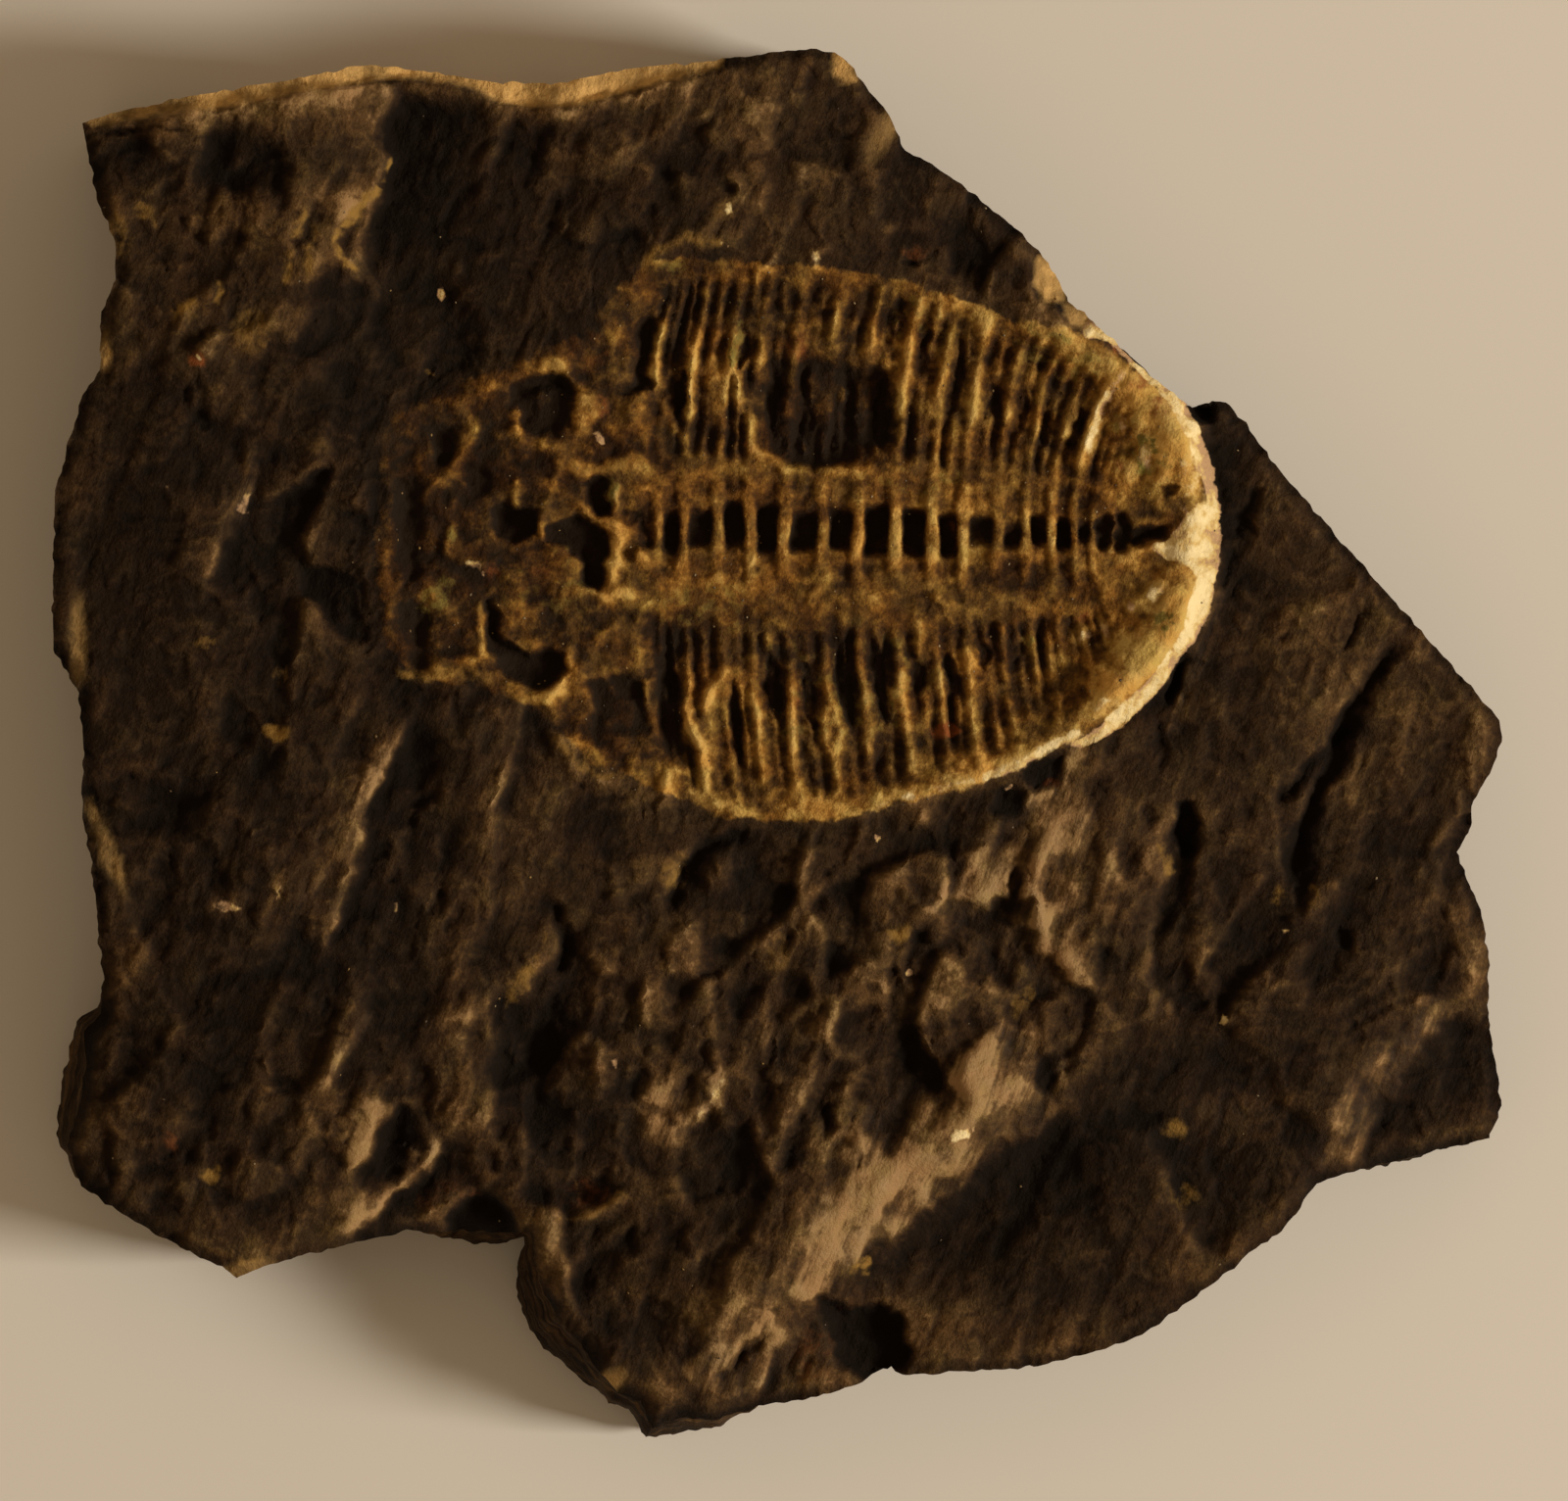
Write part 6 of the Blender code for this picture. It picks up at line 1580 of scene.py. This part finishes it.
def shale_material(settings):
    """Dark streaky shale with rust, a cream lip and a tan rind, from the masks that the mesh carries, with
    painted shade in its hollows and painted highlights on its crests and lit facets.
    """
    material, maker = new_material("dark shale")
    place = maker.node("ShaderNodeTexCoord", output="Object")
    streak = maker.node(
        "ShaderNodeMapping",
        {"vector_type": "TEXTURE"},
        {"Vector": place, "Rotation": (0.0, 0.0, math.radians(STREAK_TURN)), "Scale": (9.0, 1.0, 2.0)},
    )
    layer = maker.node(
        "ShaderNodeMapping", {"vector_type": "TEXTURE"}, {"Vector": place, "Scale": (30.0, 30.0, 1.0)}
    )
    mottle = maker.patches(place, 0.0042, 5.0, 0.6)
    cloud = maker.patches(place, 0.013, 3.0, 0.5)
    fibre = maker.patches(streak, 0.0011, 3.0, 0.6)
    grain = maker.patches(place, 0.00032, 3.0, 0.65)
    speck = maker.patches(place, 0.0010, 3.0, 0.55)
    bedding = maker.patches(layer, 0.00055, 3.0, 0.6)
    crest = maker.attribute("crest")
    side = maker.attribute("side")
    fossil = maker.attribute("fossil")
    warm = maker.attribute("warm")
    soft = mottle * 0.6 + speck * 0.4
    fray = mottle * 0.25 + speck * 0.25 + fibre * 0.15 - 0.325

    # Painted shade and highlight: the crest and swell masks make hollows darker and raised places lighter,
    # partly also wear on the crests
    relief = crest * 0.42 + maker.attribute("swell") * 0.13
    # Painted shade: this darkening mask lowers the tone in pits, hollows and slopes turned from the light,
    # and partly marks darker stone
    soot = maker.attribute("soot")
    pale = maker.attribute("pale")
    uneven = mottle * 0.14 + cloud * 0.16 + speck * 0.12 + fibre * 0.12 + grain * 0.12 - 0.33
    uneven = uneven * (1.0 - pale * 0.4)
    # Pale facets are lighter: partly the stone's own paler facets, partly a painted highlight and sheen
    rubbed = pale * (0.2 + fibre * 0.34 + mottle * 0.1)
    layered = side * (bedding * 0.5 - 0.25)
    tone = (relief + uneven + rubbed + layered - soot * 0.34 + 0.405).held()
    stone = maker.ramp(tone, [settings.stone_black, settings.stone_dark, settings.stone_brown,
                              settings.stone_light, settings.stone_pale])
    red = maker.patches(place, 0.0031, 4.0, 0.6)
    green = maker.patches(place, 0.0022, 4.0, 0.6) * (1.0 - red)
    stone = maker.blend(stone, colour(settings.violet_tint), red * 0.8, "MULTIPLY")
    stone = maker.blend(stone, colour(settings.green_tint), green * 0.6, "MULTIPLY")
    stone = maker.blend(stone, colour(settings.stone_brown), side * bedding * 0.35)

    blotch = maker.patches(place, 0.0018, 3.0, 0.6)
    uneven = mottle * 0.14 + blotch * 0.26 + speck * 0.14 + grain * 0.1 + cloud * 0.08 - 0.36
    # Painted shade and highlight: the crust is darker in hollows and lighter on crests, and the darkening
    # mask adds painted shade
    tone = (relief * 1.1 + uneven + warm * 0.34 - soot * 0.3 + 0.405).held()
    crust = maker.ramp(tone, [settings.crust_black, settings.crust_dark, settings.crust_brown,
                              settings.crust_ochre, settings.crust_straw])
    olive = (maker.attribute("olive") * 0.6 + speck * 0.5).spread(0.5, 0.9) * tone
    crust = maker.blend(crust, colour(settings.crust_olive), olive)
    crust = maker.blend(crust, colour(settings.red_tint), red, "MULTIPLY")
    crust = maker.blend(crust, colour(settings.green_tint), green * 0.5, "MULTIPLY")
    covered = (fossil + fray * 0.9).spread(0.35, 0.75)
    ochre = maker.attribute("ochre")
    painted = (ochre * (0.9 + crest * 0.3) + fray * ochre * 2.0).spread(0.15, 0.85)
    surface = maker.blend(stone, crust, covered)
    surface = maker.blend(surface, colour(settings.crust_ochre), painted)
    rust = maker.attribute("rust")
    rust = (rust + fray * rust * 2.0).spread(0.15, 0.9) * (0.45 + speck * 0.5)
    surface = maker.blend(surface, colour(settings.rust), rust)
    rind = maker.attribute("rind")
    rind = ((rind + fray * rind) * (0.75 + soft * 0.4) * (1.0 - side * bedding * 0.6)).held()
    surface = maker.blend(surface, colour(settings.rind), rind)
    drawn = maker.attribute("cream")
    cream = (drawn + fray * 1.1 * (1.0 - drawn * 0.5)).spread(0.36, 0.66)
    # Crests make the lip paler: partly wear, partly a painted highlight
    worn = (mottle * 0.5 + blotch * 0.8 + speck * 0.45 + crest * 0.5 + drawn * 0.9 - 1.23).held()
    worn = (worn - maker.attribute("olive") * 0.5).held()
    shade = maker.ramp(worn, [settings.lip_tan, settings.lip_straw, settings.cream, settings.lip_pale])
    surface = maker.blend(surface, shade, cream)

    texture = grain * 0.25 + speck * 0.2 + fibre * 0.25
    bump = maker.node("ShaderNodeBump", None, {"Strength": 0.6, "Distance": 0.0003, "Height": texture})
    rough = (0.82 - pale * 0.22 - crest * 0.08 + grain * 0.06).held()
    maker.surface({"Base Color": surface, "Roughness": rough, "Normal": bump, "Specular IOR Level": 0.14})
    return material


def mineral_material(settings):
    """Small pale and golden mineral grains."""
    material, maker = new_material("mineral grains")
    place = maker.node("ShaderNodeTexCoord", output="Object")
    patch = maker.noise(place, 0.003, 2.0)
    tone = maker.blend(colour(settings.gold), colour(settings.pale), patch.spread(0.48, 0.58))
    tone = maker.blend(tone, colour(settings.brown), maker.noise(place, 0.0006, 2.0).spread(0.42, 0.6))
    rough = maker.noise(place, 0.0004) * 0.4 + 0.25
    maker.surface({"Base Color": tone, "Roughness": rough})
    return material


def new_tree(name, inputs):
    """A geometry node tree with named inputs. Returns the tree, its maker and its input values."""
    tree = bpy.data.node_groups.new(name, "GeometryNodeTree")
    tree.interface.new_socket("Geometry", in_out="INPUT", socket_type="NodeSocketGeometry")
    for label, kind, default in inputs:
        socket = tree.interface.new_socket(label, in_out="INPUT", socket_type=kind)
        if default is not None:
            socket.default_value = default
    tree.interface.new_socket("Geometry", in_out="OUTPUT", socket_type="NodeSocketGeometry")
    maker = Maker(tree)
    source = tree.nodes.new("NodeGroupInput")
    values = {socket.name: Value(maker, socket) for socket in source.outputs if socket.name}
    return tree, maker, values


def use_tree(piece, tree, values):
    """Adds the tree to a piece as a modifier and sets its inputs by their identifiers."""
    modifier = piece.modifiers.new(tree.name, "NODES")
    modifier.node_group = tree
    for item in tree.interface.items_tree:
        if item.item_type == "SOCKET" and item.in_out == "INPUT" and item.name in values:
            modifier[item.identifier] = values[item.name]


def splinter_tree():
    """Eats small layered chips into the broken side."""
    inputs = (
        ("Chip depth", "NodeSocketFloat", 0.0004),
        ("Chip length", "NodeSocketFloat", 0.002),
        ("Seed", "NodeSocketFloat", 0.0),
        ("Material", "NodeSocketMaterial", None),
    )
    tree, maker, values = new_tree("Splintered side", inputs)
    place = maker.node("GeometryNodeInputPosition")
    flat = maker.vector("MULTIPLY", place, {1: (1.0, 1.0, 5.0)})
    scaled = maker.vector("DIVIDE", flat, {1: values["Chip length"]})
    chips = maker.node(
        "ShaderNodeTexNoise",
        {"noise_dimensions": "4D"},
        {"Vector": scaled, "W": values["Seed"], "Scale": 1.0, "Detail": 3.0, "Roughness": 0.6},
    )
    depth = chips * maker.stored("broken") * values["Chip depth"] * -1.0
    offset = maker.vector("SCALE", maker.node("GeometryNodeInputNormal"), {"Scale": depth})
    moved = maker.node("GeometryNodeSetPosition", None, {"Geometry": values["Geometry"], "Offset": offset})
    maker.plain_mesh(moved, values["Material"])
    return tree


def grain_tree():
    """Scatters small mineral grains over the faces that carry them."""
    inputs = (
        ("Density", "NodeSocketFloat", 60000.0),
        ("Grain size", "NodeSocketFloat", 0.00015),
        ("Seed", "NodeSocketInt", 0),
        ("Material", "NodeSocketMaterial", None),
    )
    tree, maker, values = new_tree("Mineral grains", inputs)
    density = maker.stored("grains") * values["Density"]
    points = maker.node(
        "GeometryNodeDistributePointsOnFaces",
        None,
        {"Mesh": values["Geometry"], "Density": density, "Seed": values["Seed"]},
    )
    spread = points.socket.node
    turn = Value(maker, spread.outputs["Rotation"])
    bead = maker.node("GeometryNodeMeshIcoSphere", None, {"Radius": 1.0, "Subdivisions": 1})
    shape = maker.node(
        "FunctionNodeRandomValue",
        {"data_type": "FLOAT_VECTOR"},
        {"Min": (0.5, 0.5, 0.25), "Max": (1.5, 1.2, 0.7), "Seed": values["Seed"]},
    )
    scale = maker.vector("SCALE", shape, {"Scale": values["Grain size"]})
    grains = maker.node(
        "GeometryNodeInstanceOnPoints",
        None,
        {"Points": points, "Instance": bead, "Rotation": turn, "Scale": scale},
    )
    maker.plain_mesh(grains, values["Material"])
    return tree


def baked_mesh(piece, name):
    """The piece's evaluated mesh as plain data. Its modifiers are removed."""
    graph = bpy.context.evaluated_depsgraph_get()
    data = bpy.data.meshes.new_from_object(piece.evaluated_get(graph))
    data.name = name
    piece.modifiers.clear()
    return data


def new_object(context, name, data):
    """A new object in the scene."""
    made = bpy.data.objects.new(name, data)
    context.scene.collection.objects.link(made)
    return made


def finish_piece(piece):
    """Ties a finished piece to the slab's body."""
    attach(piece, BODY)


def paint_masks(data, relief):
    """Writes the relief map's masks on the mesh, with one for its broken side."""
    corners = np.empty(len(data.vertices) * 3)
    data.vertices.foreach_get("co", corners)
    x, y, height = grid_place(corners.reshape(-1, 3))
    below = relief.at("height", x, y) - height
    side = ease((below - SIDE_START) / SIDE_FADE)
    write_mask(data, "side", side)
    old_corner = ease((RIND_REACH[0] - x) / RIND_FADE) * ease((RIND_REACH[1] - y) / RIND_FADE)
    for name in relief.fields:
        if name != "height":
            kept = SIDE_SHARE + (RIND_SHARE * old_corner if name == "rind" else 0.0)
            write_mask(data, name, relief.at(name, x, y) * (1.0 - (1.0 - kept) * side))


def colour_setting(name, description, default):
    """A colour that a user can change."""
    return FloatVectorProperty(name=name, description=description, default=default, subtype="COLOR")


def length_setting(name, description, default):
    """A length that a user can change."""
    return FloatProperty(name=name, description=description, default=default, unit="LENGTH", precision=5)


class ShaleSettings(bpy.types.PropertyGroup):
    """Finish of the shale plate."""

    triangles: IntProperty(
        name="Triangles", description="Triangles kept in the plate's mesh", default=192000, min=20000
    )
    chip_depth: length_setting("Chip depth", "Depth of the chips in the broken side", 0.00045)
    chip_length: length_setting("Chip length", "Length of the chips in the broken side", 0.0022)
    # The black and dark stops of stone and crust are reached in hollows and serve as painted shade; the
    # light, pale and straw stops are reached on crests and lit facets and serve partly as painted highlight
    stone_black: colour_setting("Black stone", "Stone in its deepest hollows", (0.0064, 0.0035, 0.0015))
    stone_dark: colour_setting("Dark stone", "Stone in its shallow hollows", (0.018, 0.0094, 0.0040))
    stone_brown: colour_setting("Brown stone", "Most of the stone", (0.045, 0.0250, 0.0106))
    stone_light: colour_setting("Light stone", "Raised and rubbed stone", (0.118, 0.068, 0.026))
    stone_pale: colour_setting("Pale stone", "Fresh facets of the stone", (0.33, 0.212, 0.100))
    violet_tint: colour_setting("Violet tint", "Tint of the stone in patches", (1.0, 0.88, 0.76))
    red_tint: colour_setting("Red tint", "Tint of the crust in patches", (1.0, 0.80, 0.58))
    green_tint: colour_setting("Green tint", "Tint of the stone and the crust in patches", (0.97, 1.0, 0.66))
    crust_black: colour_setting("Black crust", "Crust in the deepest hollows", (0.014, 0.0082, 0.0042))
    crust_dark: colour_setting("Umber crust", "Crust in shallow hollows", (0.034, 0.0165, 0.0055))
    crust_brown: colour_setting("Brown crust", "Most of the crust", (0.110, 0.057, 0.0145))
    crust_ochre: colour_setting("Ochre crust", "Raised crust", (0.28, 0.158, 0.036))
    crust_straw: colour_setting("Straw crust", "Crust worn pale on the crests", (0.60, 0.41, 0.13))
    crust_olive: colour_setting("Olive crust", "Crust with a green cast", (0.20, 0.175, 0.048))
    cream: colour_setting("Cream lip", "Lip round the tail", (0.80, 0.64, 0.33))
    lip_tan: colour_setting("Tan lip", "Stained places of the lip", (0.48, 0.30, 0.16))
    lip_straw: colour_setting("Straw lip", "Yellow places of the lip", (0.68, 0.48, 0.18))
    lip_pale: colour_setting("Pale lip", "Rubbed places of the lip", (0.88, 0.72, 0.40))
    rind: colour_setting("Tan rind", "Weathered rind on the old edges", (0.70, 0.43, 0.15))
    rust: colour_setting("Rust", "Orange and red rust", (0.24, 0.07, 0.018))


class GrainSettings(bpy.types.PropertyGroup):
    """The mineral grains on the plate."""

    density: FloatProperty(
        name="Density", description="Grains for each square metre of the richest places", default=60000.0
    )
    size: length_setting("Grain size", "Half length of a usual grain", 0.00011)
    seed: IntProperty(name="Seed", description="Another number gives another scatter", default=7)
    gold: colour_setting("Golden grains", "Rusty golden grains", (0.30, 0.18, 0.05))
    pale: colour_setting("Pale grains", "Pale shining grains", (0.30, 0.23, 0.13))
    brown: colour_setting("Brown grains", "Dull brown grains", (0.07, 0.045, 0.026))


class StageSettings(bpy.types.PropertyGroup):
    """Floor, light and camera."""

    floor: colour_setting("Floor", "Plain pale floor", (0.80, 0.77, 0.72))
    floor_size: length_setting("Floor size", "Side of the floor", 2.0)
    key_power: FloatProperty(
        name="Key light", description="Power of the key light", default=21.0, unit="POWER"
    )
    key_colour: colour_setting("Key colour", "Colour of the key light", (1.0, 0.91, 0.77))
    key_turn: FloatProperty(
        name="Key turn", description="Way to the key light, from the right edge anticlockwise",
        default=math.radians(-10.0), subtype="ANGLE",
    )
    key_height: FloatProperty(
        name="Key height", description="Angle of the key light above the floor",
        default=math.radians(27.0), subtype="ANGLE",
    )
    key_distance: length_setting("Key distance", "From the slab to the key light", 1.5)
    key_size: length_setting("Key size", "Side of the key light", 0.36)
    fill: FloatProperty(name="Fill", description="Strength of the even light all round", default=0.3)
    fill_colour: colour_setting("Fill colour", "Colour of the even light all round", (1.0, 0.72, 0.44))
    camera_distance: length_setting("Camera distance", "From the face to the camera", 1.0)


class FOSSIL_OT_shale_plate(bpy.types.Operator):
    """Builds the shale plate with the imprint in its face"""

    bl_idname = "fossil.shale_plate"
    bl_label = "Shale plate"

    def execute(self, context):
        settings = context.scene.fossil_shale
        relief = ReliefMap()
        plate = new_object(context, "shale_plate", fine_slab(relief))
        chips = {"Chip depth": settings.chip_depth, "Chip length": settings.chip_length}
        look = {"Seed": float(SEED), "Material": shale_material(settings)}
        use_tree(plate, splinter_tree(), {**chips, **look})
        plate.data.calc_loop_triangles()
        reducer = plate.modifiers.new("thin out", "DECIMATE")
        reducer.ratio = min(1.0, settings.triangles / len(plate.data.loop_triangles))
        reducer.use_collapse_triangulate = True
        plate.data = baked_mesh(plate, "shale plate")
        for vert in plate.data.vertices:
            if vert.co.z < FLAT_BACK:
                vert.co.z = 0.0
        plate.data.attributes.remove(plate.data.attributes["broken"])
        paint_masks(plate.data, relief)
        plate.data.shade_smooth()
        plate.data.set_sharp_from_angle(angle=math.radians(SHARP_ANGLE))
        finish_piece(plate)
        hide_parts(SOLID)
        return {"FINISHED"}


class FOSSIL_OT_mineral_grains(bpy.types.Operator):
    """Scatters mineral grains over the face of the plate"""

    bl_idname = "fossil.mineral_grains"
    bl_label = "Mineral grains"

    def execute(self, context):
        settings = context.scene.fossil_grains
        plate = bpy.data.objects.get("shale_plate")
        if plate is None:
            raise RuntimeError("make the shale plate before its grains")
        data = plate.data.copy()
        upward = np.empty(len(data.vertices) * 3)
        data.vertices.foreach_get("normal", upward)
        facing = ease((upward.reshape(-1, 3)[:, 2] - GRAIN_FACING[0]) / GRAIN_FACING[1])
        chance = GRAIN_BASE + (1.0 - GRAIN_BASE) * read_mask(data, "fossil") + read_mask(data, "ochre")
        chance = chance * facing * (1.0 - GRAIN_LOSS * read_mask(data, "side"))
        write_mask(data, "grains", chance)
        grains = new_object(context, "mineral_grains", data)
        sizes = {"Density": settings.density, "Grain size": settings.size}
        look = {"Seed": settings.seed, "Material": mineral_material(settings)}
        use_tree(grains, grain_tree(), {**sizes, **look})
        grains.data = baked_mesh(grains, "mineral grains")
        grains.data.shade_smooth()
        finish_piece(grains)
        return {"FINISHED"}


class FOSSIL_OT_studio_stage(bpy.types.Operator):
    """Adds the plain floor, the soft lights and the camera above the face"""

    bl_idname = "fossil.studio_stage"
    bl_label = "Studio stage"

    def execute(self, context):
        settings = context.scene.fossil_stage
        scene = context.scene
        mesh = bmesh.new()
        bmesh.ops.create_grid(mesh, x_segments=4, y_segments=4, size=0.5 * settings.floor_size)
        data = bpy.data.meshes.new("floor")
        mesh.to_mesh(data)
        mesh.free()
        data.materials.append(floor_material(settings))
        floor = new_object(context, "floor", data)

        face = Vector((0.0, 0.0, CAD_HIGH.z))
        level = math.cos(settings.key_height)
        way = Vector((
            math.cos(settings.key_turn) * level,
            math.sin(settings.key_turn) * level,
            math.sin(settings.key_height),
        ))
        light = bpy.data.lights.new("key", "AREA")
        light.shape = "SQUARE"
        light.size = settings.key_size
        light.energy = settings.key_power
        light.color = settings.key_colour
        key = new_object(context, "key", light)
        key.location = face + way * settings.key_distance
        key.rotation_euler = way.to_track_quat("Z", "Y").to_euler()

        world_light = bpy.data.worlds.new("studio")
        world_light.use_nodes = True
        background = world_light.node_tree.nodes["Background"]
        background.inputs["Color"].default_value = colour(settings.fill_colour)
        background.inputs["Strength"].default_value = settings.fill
        scene.world = world_light

        lens = bpy.data.cameras.new("camera")
        frame_width = VIEW_SQUARES * SQUARE
        lens.sensor_width = SENSOR_WIDTH
        lens.lens = SENSOR_WIDTH * settings.camera_distance / frame_width
        lens.clip_start = 0.01
        lens.clip_end = 10.0
        camera = new_object(context, "camera", lens)
        middle = world(np.array([VIEW_CENTRE[0]]), np.array([VIEW_CENTRE[1]]), np.zeros(1))[0]
        camera.location = (middle[0], middle[1], face.z + settings.camera_distance)
        scene.camera = camera
        scene.view_settings.view_transform = "Standard"
        return {"FINISHED"}


def floor_material(settings):
    """Plain pale floor."""
    material, maker = new_material("pale floor")
    maker.surface({"Base Color": colour(settings.floor), "Roughness": 0.9})
    return material


class FOSSIL_PT_panel(bpy.types.Panel):
    """Sizes, colours and steps of the fossil"""

    bl_idname = "FOSSIL_PT_panel"
    bl_label = "Trilobite imprint"
    bl_space_type = "VIEW_3D"
    bl_region_type = "UI"
    bl_category = "Fossil"

    def draw(self, context):
        for name, _, step in STEPS:
            box = self.layout.box()
            settings = getattr(context.scene, name)
            for key in settings.bl_rna.properties.keys():
                if key not in ("name", "rna_type"):
                    box.prop(settings, key)
            box.operator(step.bl_idname)


STEPS = (
    ("fossil_shale", ShaleSettings, FOSSIL_OT_shale_plate),
    ("fossil_grains", GrainSettings, FOSSIL_OT_mineral_grains),
    ("fossil_stage", StageSettings, FOSSIL_OT_studio_stage),
)


def register():
    for name, settings, step in STEPS:
        bpy.utils.register_class(settings)
        bpy.utils.register_class(step)
        setattr(bpy.types.Scene, name, PointerProperty(type=settings))
    bpy.utils.register_class(FOSSIL_PT_panel)


def unregister():
    bpy.utils.unregister_class(FOSSIL_PT_panel)
    for name, settings, step in reversed(STEPS):
        delattr(bpy.types.Scene, name)
        bpy.utils.unregister_class(step)
        bpy.utils.unregister_class(settings)


def main():
    register()
    bpy.ops.fossil.shale_plate()
    bpy.ops.fossil.mineral_grains()
    bpy.ops.fossil.studio_stage()


if __name__ == "__main__":
    main()
